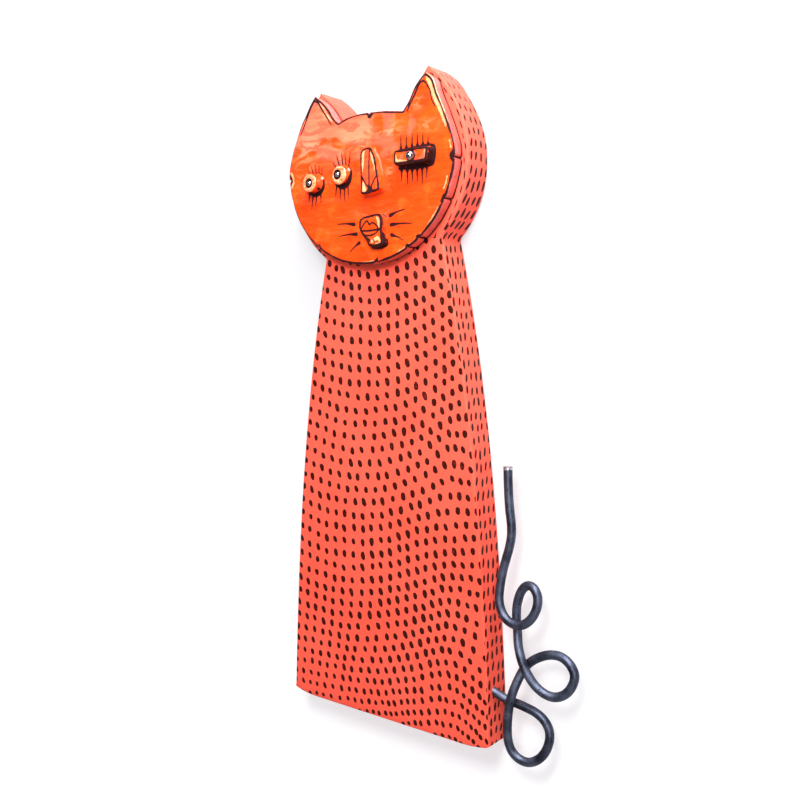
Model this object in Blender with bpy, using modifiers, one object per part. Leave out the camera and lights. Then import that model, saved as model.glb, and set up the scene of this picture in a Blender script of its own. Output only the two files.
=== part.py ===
"""Cat sculpture that hangs flat on a wall.

A thick wooden board is sawn to one outline: a long body that widens from a narrow neck to a broad
base, and a round head with two pointed ears. A slab of glazed ceramic with its own relief (two round
eyes, one oblong eye, a nose and a mouth) covers the head. Round beads make the pupils, and a
blackened steel rod, bent into three loops, stands in a hole in the body's edge as the tail.

Metres. X runs to the viewer's right, the back of the board lies in the plane Y = 0 with the cat
facing -Y, and Z is up. The origin is the hanging point, on the back behind the middle of the head.
"""

import math

import bmesh
import bpy
from mathutils import Matrix, Vector

# Wooden board
BOARD_THICK = 0.025
BOARD_EDGE = 0.0010          # softened arris, front and back
BODY_HEIGHT = 0.3625         # from the base to the neck
BASE_WIDTH = 0.1895
NECK_WIDTH = 0.1080
FLARE = (0.34, 0.25, 0.41)   # how the side leaves the vertical: linear, square and cubic parts
BASE_LIFT = 0.0030           # the base's ends are eased upwards by this much
BASE_EASE = 0.0240           # over this length
HEAD_HALF = 0.0837           # half the width of the wooden head
HEAD_SHIFT = -0.0070         # the head sits a little to the viewer's left of the body
HEAD_RISE = 0.693            # the middle of the head above the neck, as a share of HEAD_HALF

# Ceramic face
FACE_THICK = 0.0100
FACE_MARGIN = 0.0042         # wood that shows beyond the face
FACE_EDGE = 0.0016           # rounded front edge
EYE_RADIUS = 0.0070
EYE_HEIGHTS = (0.0090, 0.0050)
SOCKET_RADIUS = 0.0032
SOCKET_SHIFTS = ((-0.0005, -0.0003), (-0.0020, 0.0007))   # the holes aren't quite central
SOCKET_DEPTH = 0.0042
EYE_BLOCK_SIZE = (0.0306, 0.0108)
EYE_BLOCK_HEIGHT = 0.0070
EYE_BLOCK_CORNER = 0.0022
NOSE_HEIGHTS = (0.0030, 0.0062)   # at the brow and at the tip
MOUTH_HEIGHT = 0.0050
NOTCH_DEPTH = 0.0028
NOTCH_WIDTH = 0.0052

# Pupils
PUPIL_RADIUS = 0.0024
BLOCK_PUPIL_RADIUS = 0.0034

# Steel tail
ROD_DIAMETER = 0.00635
TAIL_RISE = 0.1620           # from its hole to its cut end
TAIL_LEVEL = 0.612           # its hole and loops lie this share of the board's thickness off the wall
TAIL_HOLE_HEIGHT = 0.0408    # above the base
TAIL_HOLE_TILT = math.radians(-20)
TAIL_HOLE_DEPTH = 0.0220
STRAND_GAP = 0.0009          # between two strands that cross

# Between pieces that touch
CLEARANCE = 0.0003

HEAD_HEIGHT = BODY_HEIGHT + HEAD_RISE * HEAD_HALF
HANG_HEIGHT = HEAD_HEIGHT    # the hanging point above the base
FACE_HALF = HEAD_HALF - FACE_MARGIN
TAIL_PLANE = TAIL_LEVEL * BOARD_THICK

# The upper half of the head as shares of its half width, from the right cheek over both ears to the
# left cheek. The runs meet in corners: ear tip, valley, valley, ear tip.
WOOD_HEAD = (
    ((1.000, -0.060), (0.997, 0.060), (0.974, 0.180), (0.918, 0.335), (0.826, 0.498), (0.716, 0.655), (0.596, 0.752)),
    ((0.596, 0.752), (0.545, 0.700), (0.492, 0.610), (0.443, 0.510), (0.405, 0.420)),
    ((0.405, 0.420), (0.230, 0.425), (0.000, 0.432), (-0.200, 0.425), (-0.335, 0.425)),
    ((-0.335, 0.425), (-0.395, 0.505), (-0.465, 0.585), (-0.548, 0.660), (-0.635, 0.724)),
    ((-0.635, 0.724), (-0.735, 0.610), (-0.835, 0.465), (-0.925, 0.300), (-0.980, 0.120), (-0.993, -0.060)),
)
WOOD_CHIN = (-0.075, 0.895)   # middle and half height of the ellipse under the cheeks
FACE_HEAD = (
    ((1.000, -0.010), (0.985, 0.085), (0.945, 0.200), (0.866, 0.385), (0.808, 0.512), (0.765, 0.635), (0.690, 0.697)),
    ((0.690, 0.697), (0.635, 0.660), (0.566, 0.588), (0.505, 0.486), (0.435, 0.404)),
    ((0.435, 0.404), (0.236, 0.434), (0.070, 0.449), (-0.087, 0.454), (-0.248, 0.438), (-0.336, 0.409)),
    ((-0.336, 0.409), (-0.385, 0.455), (-0.450, 0.546), (-0.538, 0.636), (-0.632, 0.703)),
    ((-0.632, 0.703), (-0.685, 0.648), (-0.745, 0.570), (-0.836, 0.433), (-0.922, 0.240), (-0.980, 0.084),
     (-0.994, -0.030)),
)
FACE_CHIN = (0.0, 0.934)
# Where the rim of the face is nicked, as directions from its middle in degrees
NOTCHES = (84, -4, -25, -50, -59, -82, -129, 184)

# Places and outlines on the face, from its middle, as shares of its half width
EYE_PLACES = ((-0.616, -0.133), (-0.277, -0.091))
EYE_BLOCK_PLACE = (0.587, -0.023)
NOSE = ((-0.031, 0.088), (0.000, 0.116), (0.050, 0.128), (0.101, 0.121), (0.153, 0.025),
        (0.186, -0.101), (0.208, -0.189), (0.224, -0.279), (0.093, -0.302), (0.003, -0.302))
MOUTH = ((-0.030, -0.528), (0.021, -0.503), (0.176, -0.486), (0.226, -0.491), (0.243, -0.543),
         (0.243, -0.659), (0.255, -0.770), (0.175, -0.790), (0.082, -0.780), (0.055, -0.718),
         (-0.004, -0.659), (-0.033, -0.611))

# The tail's way from its hole as shares of its rise: to the right, up, and to which side of the
# middle plane it weaves (1 is in front, -1 is behind).
TAIL_ROUTE = (
    (0.055, -0.026, -0.60), (0.105, -0.036, -1.00), (0.150, -0.040, -0.80), (0.198, -0.048, -0.60),
    (0.240, -0.068, -0.45), (0.268, -0.104, -0.30), (0.272, -0.148, -0.15), (0.256, -0.198, 0.00),
    (0.224, -0.240, 0.10), (0.180, -0.266, 0.20), (0.136, -0.264, 0.35), (0.102, -0.240, 0.55),
    (0.084, -0.198, 0.75), (0.080, -0.140, 0.90), (0.086, -0.066, 1.00), (0.098, 0.000, 0.95),
    (0.114, 0.056, 0.50), (0.128, 0.102, -0.40), (0.147, 0.140, -1.00), (0.182, 0.173, -0.98),
    (0.228, 0.201, -0.85), (0.274, 0.218, -0.65), (0.322, 0.220, -0.45), (0.364, 0.200, -0.20),
    (0.388, 0.162, 0.00), (0.380, 0.116, 0.15), (0.350, 0.074, 0.30), (0.306, 0.052, 0.50),
    (0.260, 0.056, 0.70), (0.216, 0.082, 0.90), (0.182, 0.122, 1.00), (0.154, 0.168, 0.95),
    (0.125, 0.226, 0.20), (0.106, 0.288, -0.80), (0.098, 0.340, -1.00), (0.101, 0.396, -0.95),
    (0.118, 0.450, -0.75), (0.144, 0.486, -0.50), (0.172, 0.498, -0.25), (0.200, 0.488, 0.05),
    (0.218, 0.456, 0.30), (0.216, 0.412, 0.55), (0.196, 0.368, 0.80), (0.162, 0.336, 1.00),
    (0.120, 0.326, 1.00), (0.078, 0.338, 0.90), (0.046, 0.370, 0.65), (0.030, 0.414, 0.40),
    (0.030, 0.460, 0.20), (0.036, 0.506, 0.10), (0.046, 0.556, 0.00), (0.060, 0.602, 0.00),
    (0.074, 0.648, 0.00), (0.084, 0.700, 0.00), (0.084, 0.750, 0.00), (0.074, 0.830, 0.00),
    (0.068, 0.920, 0.00), (0.066, 1.000, 0.00),
)


def clear_scene():
    for item in list(bpy.data.objects):
        bpy.data.objects.remove(item, do_unlink=True)
    for group in list(bpy.data.collections):
        bpy.data.collections.remove(group)


def material(name, color, roughness, metallic=0.0, coat=0.0):
    made = bpy.data.materials.new(name)
    made.use_nodes = True
    shader = made.node_tree.nodes["Principled BSDF"]
    shader.inputs["Base Color"].default_value = (*color, 1.0)
    shader.inputs["Roughness"].default_value = roughness
    shader.inputs["Metallic"].default_value = metallic
    shader.inputs["Coat Weight"].default_value = coat
    made.diffuse_color = (*color, 1.0)
    return made


def smooth_run(points, steps, ends=None):
    """Catmull-Rom curve through the points, with the given number of steps between neighbours."""
    pts = [Vector(p) for p in points]
    before, after = ends or (2 * pts[0] - pts[1], 2 * pts[-1] - pts[-2])
    pts = [Vector(before)] + pts + [Vector(after)]
    run = []
    for a, b, c, d in zip(pts, pts[1:], pts[2:], pts[3:]):
        for k in range(steps):
            t = k / steps
            run.append(0.5 * ((2 * b) + (c - a) * t + (2 * a - 5 * b + 4 * c - d) * t * t
                              + (3 * b - a - 3 * c + d) * t * t * t))
    run.append(pts[-2])
    return run


def body_half_width(height):
    share = height / BODY_HEIGHT
    fall = sum(part * share ** (k + 1) for k, part in enumerate(FLARE))
    return (BASE_WIDTH + (NECK_WIDTH - BASE_WIDTH) * fall) / 2


def head_outline(runs, chin, half, steps):
    """Head outline around its own middle, counter-clockwise as the viewer sees it.

    The ears' runs come first, then the chin's ellipse from the left cheek round to the right.
    """
    outline = []
    for run in runs:
        outline += [p * half for p in smooth_run(run, steps)][:-1]
    middle, tall = chin
    low = Vector(runs[-1][-1])
    high = Vector(runs[0][0])
    first = math.atan2((low.y - middle) / tall, low.x)
    last = math.atan2((high.y - middle) / tall, high.x)
    first = first if first < 0 else first - 2 * math.pi
    sides = 44
    ellipse = []
    for k in range(sides):
        angle = first + (last - first) * k / sides
        wide = abs(low.x) + (abs(high.x) - abs(low.x)) * k / sides
        ellipse.append(Vector((wide * math.cos(angle), middle + tall * math.sin(angle))) * half)
    return outline, ellipse


def wooden_outline():
    """Base, right side, head and left side of the board, from the base up."""
    middle = Vector((HEAD_SHIFT, HEAD_HEIGHT))
    ears, chin = head_outline(WOOD_HEAD, WOOD_CHIN, HEAD_HALF, 4)
    ears = [p + middle for p in ears]
    chin = [p + middle for p in chin]
    outside = [abs(p.x) > body_half_width(p.y) for p in chin]
    left = chin[:outside.index(False)]
    right = chin[len(chin) - outside[::-1].index(False):]
    neck_left, neck_right = left[-1].y - 0.0015, right[0].y - 0.0015

    half = BASE_WIDTH / 2
    base = []
    for k in range(9):
        x = half - BASE_EASE * (1 - k / 8)
        base.append(Vector((x, BASE_LIFT * (k / 8) ** 2)))
    base[-1:] = [Vector((half - 0.0016, base[-1].y - 0.0004)), Vector((half - 0.0004, base[-1].y + 0.0006))]
    base = [Vector((-p.x, p.y)) for p in reversed(base)] + base

    def side(top, sign, steps=26):
        foot = BASE_LIFT + 0.0012
        heights = [foot + (top - foot) * k / steps for k in range(steps + 1)]
        return [Vector((sign * body_half_width(z), z)) for z in heights]

    return base + side(neck_right, 1) + right + ears + left + list(reversed(side(neck_left, -1)))


def face_outline():
    ears, chin = head_outline(FACE_HEAD, FACE_CHIN, FACE_HALF, 4)
    return [p + Vector((HEAD_SHIFT, HEAD_HEIGHT)) for p in ears + chin]


def stand_up(item, depth=0.0):
    """The front view is drawn in local XY with local Z towards the viewer; this stands it up."""
    item.matrix_world = Matrix.Translation((0, -depth, -HANG_HEIGHT)) @ Matrix.Rotation(math.pi / 2, 4, "X")


def link(item, group, coat=None):
    group.objects.link(item)
    if coat:
        item.data.materials.append(coat)
    return item


def slab(name, outline, thick, group, round_front=0.0, round_back=0.0, segments=2):
    """Flat outline given its thickness by a 2D curve, from local Z = 0 up, with rounded rims."""
    flat = bpy.data.curves.new(name + "_outline", "CURVE")
    flat.dimensions = "2D"
    flat.fill_mode = "BOTH"
    flat.extrude = thick / 2
    path = flat.splines.new("POLY")
    path.points.add(len(outline) - 1)
    for point, place in zip(path.points, outline):
        point.co = (place.x, place.y, 0, 1)
    path.use_cyclic_u = True
    drawn = bpy.data.objects.new(name + "_outline", flat)
    group.objects.link(drawn)
    bpy.context.view_layer.update()
    mesh = bpy.data.meshes.new_from_object(drawn.evaluated_get(bpy.context.evaluated_depsgraph_get()))
    bpy.data.objects.remove(drawn, do_unlink=True)
    mesh.name = name
    work = bmesh.new()
    work.from_mesh(mesh)
    bmesh.ops.translate(work, verts=work.verts, vec=(0, 0, thick / 2))
    bmesh.ops.remove_doubles(work, verts=work.verts, dist=0.00001)
    flat_edges = [e for e in work.edges if len(e.link_faces) == 2
                  and all(abs(f.normal.z) > 0.99 for f in e.link_faces)]
    bmesh.ops.dissolve_edges(work, edges=flat_edges, use_verts=False)
    bmesh.ops.recalc_face_normals(work, faces=work.faces)
    weight = work.edges.layers.float.new("bevel_weight_edge")
    most = max(round_front, round_back, 0.00001)
    for edge in work.edges:
        level = (edge.verts[0].co.z + edge.verts[1].co.z) / 2
        if abs(edge.verts[0].co.z - edge.verts[1].co.z) < thick / 4:
            edge[weight] = (round_front if level > thick / 2 else round_back) / most
    work.to_mesh(mesh)
    work.free()
    made = bpy.data.objects.new(name, mesh)
    group.objects.link(made)
    if most > 0.00001:
        rim = made.modifiers.new("rounded rims", "BEVEL")
        rim.limit_method = "WEIGHT"
        rim.width = most
        rim.segments = segments
        rim.use_clamp_overlap = True
    return made


def loft(name, rings, group):
    """Closed body between two rings of equal length, the first at the bottom."""
    work = bmesh.new()
    rows = [[work.verts.new(p) for p in ring] for ring in rings]
    count = len(rows[0])
    for low, high in zip(rows, rows[1:]):
        for k in range(count):
            work.faces.new((low[k], low[(k + 1) % count], high[(k + 1) % count], high[k]))
    work.faces.new(list(reversed(rows[0])))
    work.faces.new(rows[-1])
    bmesh.ops.recalc_face_normals(work, faces=work.faces)
    mesh = bpy.data.meshes.new(name)
    work.to_mesh(mesh)
    work.free()
    made = bpy.data.objects.new(name, mesh)
    group.objects.link(made)
    return made


def cylinder(name, place, low, high, radius, group, sides=28, top_radius=None):
    work = bmesh.new()
    bmesh.ops.create_cone(work, cap_ends=True, segments=sides, radius1=radius,
                          radius2=top_radius or radius, depth=high - low,
                          matrix=Matrix.Translation((place[0], place[1], (low + high) / 2)))
    mesh = bpy.data.meshes.new(name)
    work.to_mesh(mesh)
    work.free()
    made = bpy.data.objects.new(name, mesh)
    group.objects.link(made)
    return made


def as_guide(item):
    item.hide_render = True
    item.display_type = "WIRE"


def combine(target, other, operation):
    step = target.modifiers.new(other.name, "BOOLEAN")
    step.operation = operation
    step.solver = "EXACT"
    step.object = other
    as_guide(other)


def shade(item, degrees=35):
    item.data.shade_smooth()
    item.data.set_sharp_from_angle(angle=math.radians(degrees))


def tail_points():
    """Middle line of the rod, from the bottom of its hole to its cut end, in the front view."""
    weave = (ROD_DIAMETER + STRAND_GAP) / 2
    mouth = Vector((body_half_width(TAIL_HOLE_HEIGHT), TAIL_HOLE_HEIGHT, TAIL_PLANE))
    along = Vector((math.cos(TAIL_HOLE_TILT), math.sin(TAIL_HOLE_TILT), 0))
    inner = mouth - along * (TAIL_HOLE_DEPTH - CLEARANCE)
    route = [mouth + Vector((x * TAIL_RISE, z * TAIL_RISE, side * weave)) for x, z, side in TAIL_ROUTE]
    start = mouth + along * 0.001
    return [inner] + smooth_run([start] + route, 3, ends=(start - along * 0.01, 2 * route[-1] - route[-2]))


def make_body(group, cutters):
    board = slab("wooden_body", wooden_outline(), BOARD_THICK, group, BOARD_EDGE, BOARD_EDGE, 2)
    stand_up(board)
    board.data.materials.append(material("coral_paint", (0.90, 0.16, 0.11), 0.42))
    mouth = Vector((body_half_width(TAIL_HOLE_HEIGHT), TAIL_HOLE_HEIGHT, TAIL_PLANE))
    work = bmesh.new()
    turn = Matrix.Rotation(TAIL_HOLE_TILT, 4, "Z") @ Matrix.Rotation(math.pi / 2, 4, "Y")
    reach = 0.010
    middle = Matrix.Translation(mouth) @ turn @ Matrix.Translation((0, 0, (reach - TAIL_HOLE_DEPTH) / 2))
    bmesh.ops.create_cone(work, cap_ends=True, segments=24, radius1=ROD_DIAMETER / 2 + CLEARANCE,
                          radius2=ROD_DIAMETER / 2 + CLEARANCE, depth=TAIL_HOLE_DEPTH + reach, matrix=middle)
    mesh = bpy.data.meshes.new("tail_hole")
    work.to_mesh(mesh)
    work.free()
    drill = bpy.data.objects.new("tail_hole", mesh)
    cutters.objects.link(drill)
    stand_up(drill)
    combine(board, drill, "DIFFERENCE")
    shade(board)
    return board


def make_face(group, cutters):
    face = slab("ceramic_face", face_outline(), FACE_THICK - CLEARANCE, group, FACE_EDGE, 0.0, 3)
    back = BOARD_THICK + CLEARANCE
    front = BOARD_THICK + FACE_THICK
    stand_up(face, back)
    face.data.materials.append(material("orange_glaze", (1.0, 0.17, 0.01), 0.16, coat=0.6))
    sunk = front - FACE_THICK / 2
    middle = Vector((HEAD_SHIFT, HEAD_HEIGHT))

    def rings(outline, heights):
        """Two copies of an outline, the lower sunk in the slab, the upper at heights given per point."""
        base = [(middle.x + x, middle.y + z, sunk) for x, z in outline]
        return base, [(middle.x + x, middle.y + z, front + heights(z)) for x, z in outline]

    nose = [Vector(p) * FACE_HALF for p in NOSE]
    mouth = [Vector(p) * FACE_HALF for p in MOUTH]
    block = Vector(EYE_BLOCK_PLACE) * FACE_HALF
    top, tip = nose[2].y, nose[-1].y

    def nose_height(z):
        return NOSE_HEIGHTS[0] + (NOSE_HEIGHTS[1] - NOSE_HEIGHTS[0]) * (top - z) / (top - tip)

    raised = [loft("nose", rings(nose, nose_height), cutters),
              loft("mouth", rings(mouth, lambda z: MOUTH_HEIGHT), cutters)]

    wide, tall = EYE_BLOCK_SIZE
    corners = []
    for k in range(16):
        turn = (k + 0.5) * math.pi / 8
        corners.append((block.x + math.copysign(wide / 2 - EYE_BLOCK_CORNER, math.cos(turn))
                        + EYE_BLOCK_CORNER * math.cos(turn),
                        block.y + math.copysign(tall / 2 - EYE_BLOCK_CORNER, math.sin(turn))
                        + EYE_BLOCK_CORNER * math.sin(turn)))
    raised.append(loft("eye_block", rings(corners, lambda z: EYE_BLOCK_HEIGHT), cutters))

    sockets = []
    for k, (place, height) in enumerate(zip(EYE_PLACES, EYE_HEIGHTS)):
        spot = middle + Vector(place) * FACE_HALF
        raised.append(cylinder(f"round_eye_{k + 1}", spot, sunk, front + height, EYE_RADIUS * 0.97, cutters,
                               top_radius=EYE_RADIUS))
        spot = spot + Vector(SOCKET_SHIFTS[k])
        sockets.append(cylinder(f"socket_{k + 1}", spot, front + height - SOCKET_DEPTH,
                                front + height + 0.004, SOCKET_RADIUS, cutters, 20))
    spot = middle + block
    sockets.append(cylinder("socket_3", spot, front + EYE_BLOCK_HEIGHT - BLOCK_PUPIL_RADIUS - CLEARANCE,
                            front + EYE_BLOCK_HEIGHT + 0.004, BLOCK_PUPIL_RADIUS + CLEARANCE, cutters, 20))

    for item in raised:
        stand_up(item)
        combine(face, item, "UNION")
    for item in sockets:
        stand_up(item)
        combine(face, item, "DIFFERENCE")

    outline = [p - middle for p in face_outline()]
    for k, degrees in enumerate(NOTCHES):
        away = Vector((math.cos(math.radians(degrees)), math.sin(math.radians(degrees))))
        edge = max((p for p in outline if p.normalized().dot(away) > 0.985), key=lambda p: p.normalized().dot(away))
        across = Vector((-away.y, away.x))
        out = edge + away * 0.003
        spread = NOTCH_WIDTH * (NOTCH_DEPTH + 0.003) / NOTCH_DEPTH / 2
        wedge = [edge - away * NOTCH_DEPTH, out - across * spread, out + across * spread]
        ring = [(middle.x + p.x, middle.y + p.y) for p in wedge]
        nick = loft(f"nick_{k + 1}", ([(x, y, back - 0.002) for x, y in ring],
                                      [(x, y, front + 0.002) for x, y in ring]), cutters)
        stand_up(nick)
        combine(face, nick, "DIFFERENCE")
    shade(face)
    return face


def make_pupil(name, place, height, radius, group, coat):
    work = bmesh.new()
    bmesh.ops.create_uvsphere(work, u_segments=16, v_segments=10, radius=radius)
    mesh = bpy.data.meshes.new(name)
    work.to_mesh(mesh)
    work.free()
    mesh.shade_smooth()
    pupil = bpy.data.objects.new(name, mesh)
    group.objects.link(pupil)
    mesh.materials.append(coat)
    pupil.location = (HEAD_SHIFT + place[0], -(BOARD_THICK + FACE_THICK + height),
                      HEAD_HEIGHT + place[1] - HANG_HEIGHT)
    pupil.rotation_euler = (math.pi / 2, 0, 0)
    return pupil


def make_tail(group):
    points = tail_points()
    line = bpy.data.curves.new("steel_tail_line", "CURVE")
    line.dimensions = "3D"
    line.bevel_depth = ROD_DIAMETER / 2
    line.bevel_resolution = 3
    line.use_fill_caps = True
    path = line.splines.new("POLY")
    path.points.add(len(points) - 1)
    for point, place in zip(path.points, points):
        point.co = (*place, 1)
    drawn = bpy.data.objects.new("steel_tail_line", line)
    group.objects.link(drawn)
    bpy.context.view_layer.update()
    mesh = bpy.data.meshes.new_from_object(drawn.evaluated_get(bpy.context.evaluated_depsgraph_get()))
    bpy.data.objects.remove(drawn, do_unlink=True)
    mesh.name = "steel_tail"
    work = bmesh.new()
    work.from_mesh(mesh)
    bmesh.ops.remove_doubles(work, verts=work.verts, dist=0.00001)
    bmesh.ops.recalc_face_normals(work, faces=work.faces)
    work.to_mesh(mesh)
    work.free()
    mesh.materials.clear()
    tail = bpy.data.objects.new("steel_tail", mesh)
    link(tail, group, material("blackened_steel", (0.025, 0.025, 0.035), 0.38, metallic=1.0))
    stand_up(tail)
    shade(tail)
    return tail


def build():
    clear_scene()
    cat = bpy.data.collections.new("cat_sculpture")
    cutters = bpy.data.collections.new("cat_sculpture_cutters")
    bpy.context.scene.collection.children.link(cat)
    bpy.context.scene.collection.children.link(cutters)
    make_body(cat, cutters)
    make_face(cat, cutters)
    black = material("black_glass", (0.012, 0.012, 0.014), 0.08, coat=0.5)
    for name, place, shift, height in zip(("left_pupil", "middle_pupil"), EYE_PLACES, SOCKET_SHIFTS, EYE_HEIGHTS):
        place = Vector(place) * FACE_HALF + Vector(shift)
        make_pupil(name, place, height - SOCKET_DEPTH + PUPIL_RADIUS + CLEARANCE, PUPIL_RADIUS, cat, black)
    make_pupil("right_pupil", Vector(EYE_BLOCK_PLACE) * FACE_HALF, EYE_BLOCK_HEIGHT, BLOCK_PUPIL_RADIUS, cat, black)
    make_tail(cat)
    bpy.context.view_layer.update()


build()
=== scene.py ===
"""Cat sculpture for a wall: a painted board, a glazed ceramic face and a bent steel tail."""

import math

import bpy
import numpy as np
from mathutils import Matrix, Vector, noise
from mathutils.geometry import delaunay_2d_cdt


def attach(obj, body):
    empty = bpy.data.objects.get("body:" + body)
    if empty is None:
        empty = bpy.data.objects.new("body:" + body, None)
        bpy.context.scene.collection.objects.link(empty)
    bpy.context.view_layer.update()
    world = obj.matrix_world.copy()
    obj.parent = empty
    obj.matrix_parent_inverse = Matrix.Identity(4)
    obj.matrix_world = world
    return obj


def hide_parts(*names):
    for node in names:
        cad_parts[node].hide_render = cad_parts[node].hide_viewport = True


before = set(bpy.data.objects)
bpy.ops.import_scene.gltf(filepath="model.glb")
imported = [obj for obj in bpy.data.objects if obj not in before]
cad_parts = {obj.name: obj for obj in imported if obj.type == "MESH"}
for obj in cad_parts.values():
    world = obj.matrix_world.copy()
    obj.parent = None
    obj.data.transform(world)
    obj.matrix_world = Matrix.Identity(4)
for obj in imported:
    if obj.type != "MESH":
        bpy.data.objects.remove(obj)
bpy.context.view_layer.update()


# THE BOARD
# One 25 mm board sawn to the outline of a seated cat, with a long body that spreads to its base and a
# round head with two ears. Its edges are only just broken, and the whole board is brushed with coral paint.

board_thick = 0.025
board_arris = 0.001
board_spacing, board_step = 0.003, 0.0038      # between the points of its outline, and inside it
body_height = 0.3625
base_width = 0.1895
neck_width = 0.108
flare = (0.34, 0.25, 0.41)
base_lift = 0.003
base_ease = 0.024
head_half = 0.0837
head_x = -0.007
hang_height = body_height + 0.693 * head_half
ear_runs = (
    ((1.000, -0.060), (0.997, 0.060), (0.974, 0.180), (0.918, 0.335), (0.826, 0.498), (0.716, 0.655), (0.596, 0.752)),
    ((0.596, 0.752), (0.545, 0.700), (0.492, 0.610), (0.443, 0.510), (0.405, 0.420)),
    ((0.405, 0.420), (0.230, 0.425), (0.000, 0.432), (-0.200, 0.425), (-0.335, 0.425)),
    ((-0.335, 0.425), (-0.395, 0.505), (-0.465, 0.585), (-0.548, 0.660), (-0.635, 0.724)),
    ((-0.635, 0.724), (-0.735, 0.610), (-0.835, 0.465), (-0.925, 0.300), (-0.980, 0.120), (-0.993, -0.060)),
)
chin_middle, chin_tall = -0.075, 0.895
head_middle = np.array([head_x, 0])
corner_ease, neck_ease = 0.0008, 0.0015          # where straight sides give way to a small bend


def span(vectors):
    return np.linalg.norm(vectors, axis=1)


def curve_through(points, steps=8):
    """Smooth curve through the points, with this many steps from each to the next."""
    p = np.array(points, float)
    p = np.vstack([2 * p[:1] - p[1:2], p, 2 * p[-1:] - p[-2:-1]])
    t = (np.arange(steps) / steps)[:, None]
    runs = [0.5 * (2 * b + (c - a) * t + (2 * a - 5 * b + 4 * c - d) * t ** 2 + (3 * b - a - 3 * c + d) * t ** 3)
            for a, b, c, d in zip(p, p[1:], p[2:], p[3:])]
    return np.vstack(runs + [p[-2:-1]])


def evenly(run, spacing):
    """The same line with its points set evenly, both ends kept."""
    run = np.array(run, float)
    reach = reaches(run)
    stops = np.linspace(0, reach[-1], max(2, round(reach[-1] / spacing) + 1))
    return np.stack([np.interp(stops, reach, run[:, k]) for k in range(run.shape[1])], 1)


def joined(runs, spacing):
    """Closed outline from runs that meet end to end."""
    return np.vstack([evenly(run, spacing)[:-1] for run in runs])


def chin_run(start, end, middle, tall):
    """From the left cheek under the chin to the right cheek, in shares of the head's half width."""
    first = math.atan2((start[1] - middle) / tall, start[0]) - (2 * math.pi if start[1] > middle else 0)
    last = math.atan2((end[1] - middle) / tall, end[0])
    t = np.linspace(0, 1, 90)
    angle = first + (last - first) * t
    wide = abs(start[0]) + (abs(end[0]) - abs(start[0])) * t
    return np.stack([wide * np.cos(angle), middle + tall * np.sin(angle)], 1)


def half_width(height):
    share = height / body_height
    fall = sum(part * share ** (k + 1) for k, part in enumerate(flare))
    return (base_width + (neck_width - base_width) * fall) / 2


def board_outline(spacing):
    middle = np.array([head_x, hang_height])
    ears = [curve_through(run) * head_half + middle for run in ear_runs]
    chin = chin_run(ear_runs[-1][-1], ear_runs[0][0], chin_middle, chin_tall) * head_half + middle
    out = np.abs(chin[:, 0]) > half_width(chin[:, 1])
    left, right = chin[:np.argmin(out)], chin[len(chin) - np.argmin(out[::-1]):]
    corner = base_lift + corner_ease
    right_side = np.array([(half_width(z), z) for z in np.linspace(corner, right[0][1] - neck_ease, 60)])
    left_side = np.array([(-half_width(z), z) for z in np.linspace(left[-1][1] - neck_ease, corner, 60)])
    x = np.linspace(-base_width / 2 + corner_ease, base_width / 2 - corner_ease, 90)
    ends = np.clip((np.abs(x) - base_width / 2 + base_ease) / base_ease, 0, 1)
    base = np.stack([x, base_lift * ends ** 2], 1)
    runs = [np.vstack([left_side[-1:], base, right_side[:1]]), np.vstack([right_side, right[:1]]), right,
            np.vstack([right[-1:], ears[0]])] + ears[1:] + [np.vstack([ears[-1][-1:], left]),
            np.vstack([left[-1:], left_side])]
    return joined(runs, spacing) - np.array([0, hang_height])


def closed(ring):
    return np.vstack([ring, ring[:1]])


def reaches(line):
    """How far along a line each of its points lies."""
    return np.concatenate([[0], np.cumsum(span(np.diff(line, axis=0)))])


def inset(ring, reach):
    """A counter-clockwise ring moved inwards, and less so close to its sharp corners."""
    ahead = np.roll(ring, -1, 0) - ring
    ahead /= span(ahead)[:, None]
    behind = np.roll(ahead, 1, 0)
    outward = np.stack([ahead[:, 1] + behind[:, 1], -ahead[:, 0] - behind[:, 0]], 1)
    outward /= span(outward)[:, None]
    turn = np.arctan2(behind[:, 0] * ahead[:, 1] - behind[:, 1] * ahead[:, 0], (behind * ahead).sum(1))
    by = np.full(len(ring), reach)
    if reach > 0:
        for k in np.flatnonzero(turn > 0.45):
            away = span(ring - ring[k])
            by = np.minimum(by, 0.8 * away * math.tan((math.pi - turn[k]) / 2))
    return ring - outward * by[:, None]


def gap_to(points, line, half=None):
    """How far the points lie from a broken line, less the line's own half width where it has one."""
    best = np.full(len(points), 1.0)
    for k in range(len(line) - 1):
        run = line[k + 1] - line[k]
        t = np.clip((points - line[k]) @ run / max(run @ run, 1e-14), 0, 1)
        gap = span(points - line[k] - t[:, None] * run)
        if half is not None:
            gap = gap - (half[k] + (half[k + 1] - half[k]) * t)
        best = np.minimum(best, gap)
    return best


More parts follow.
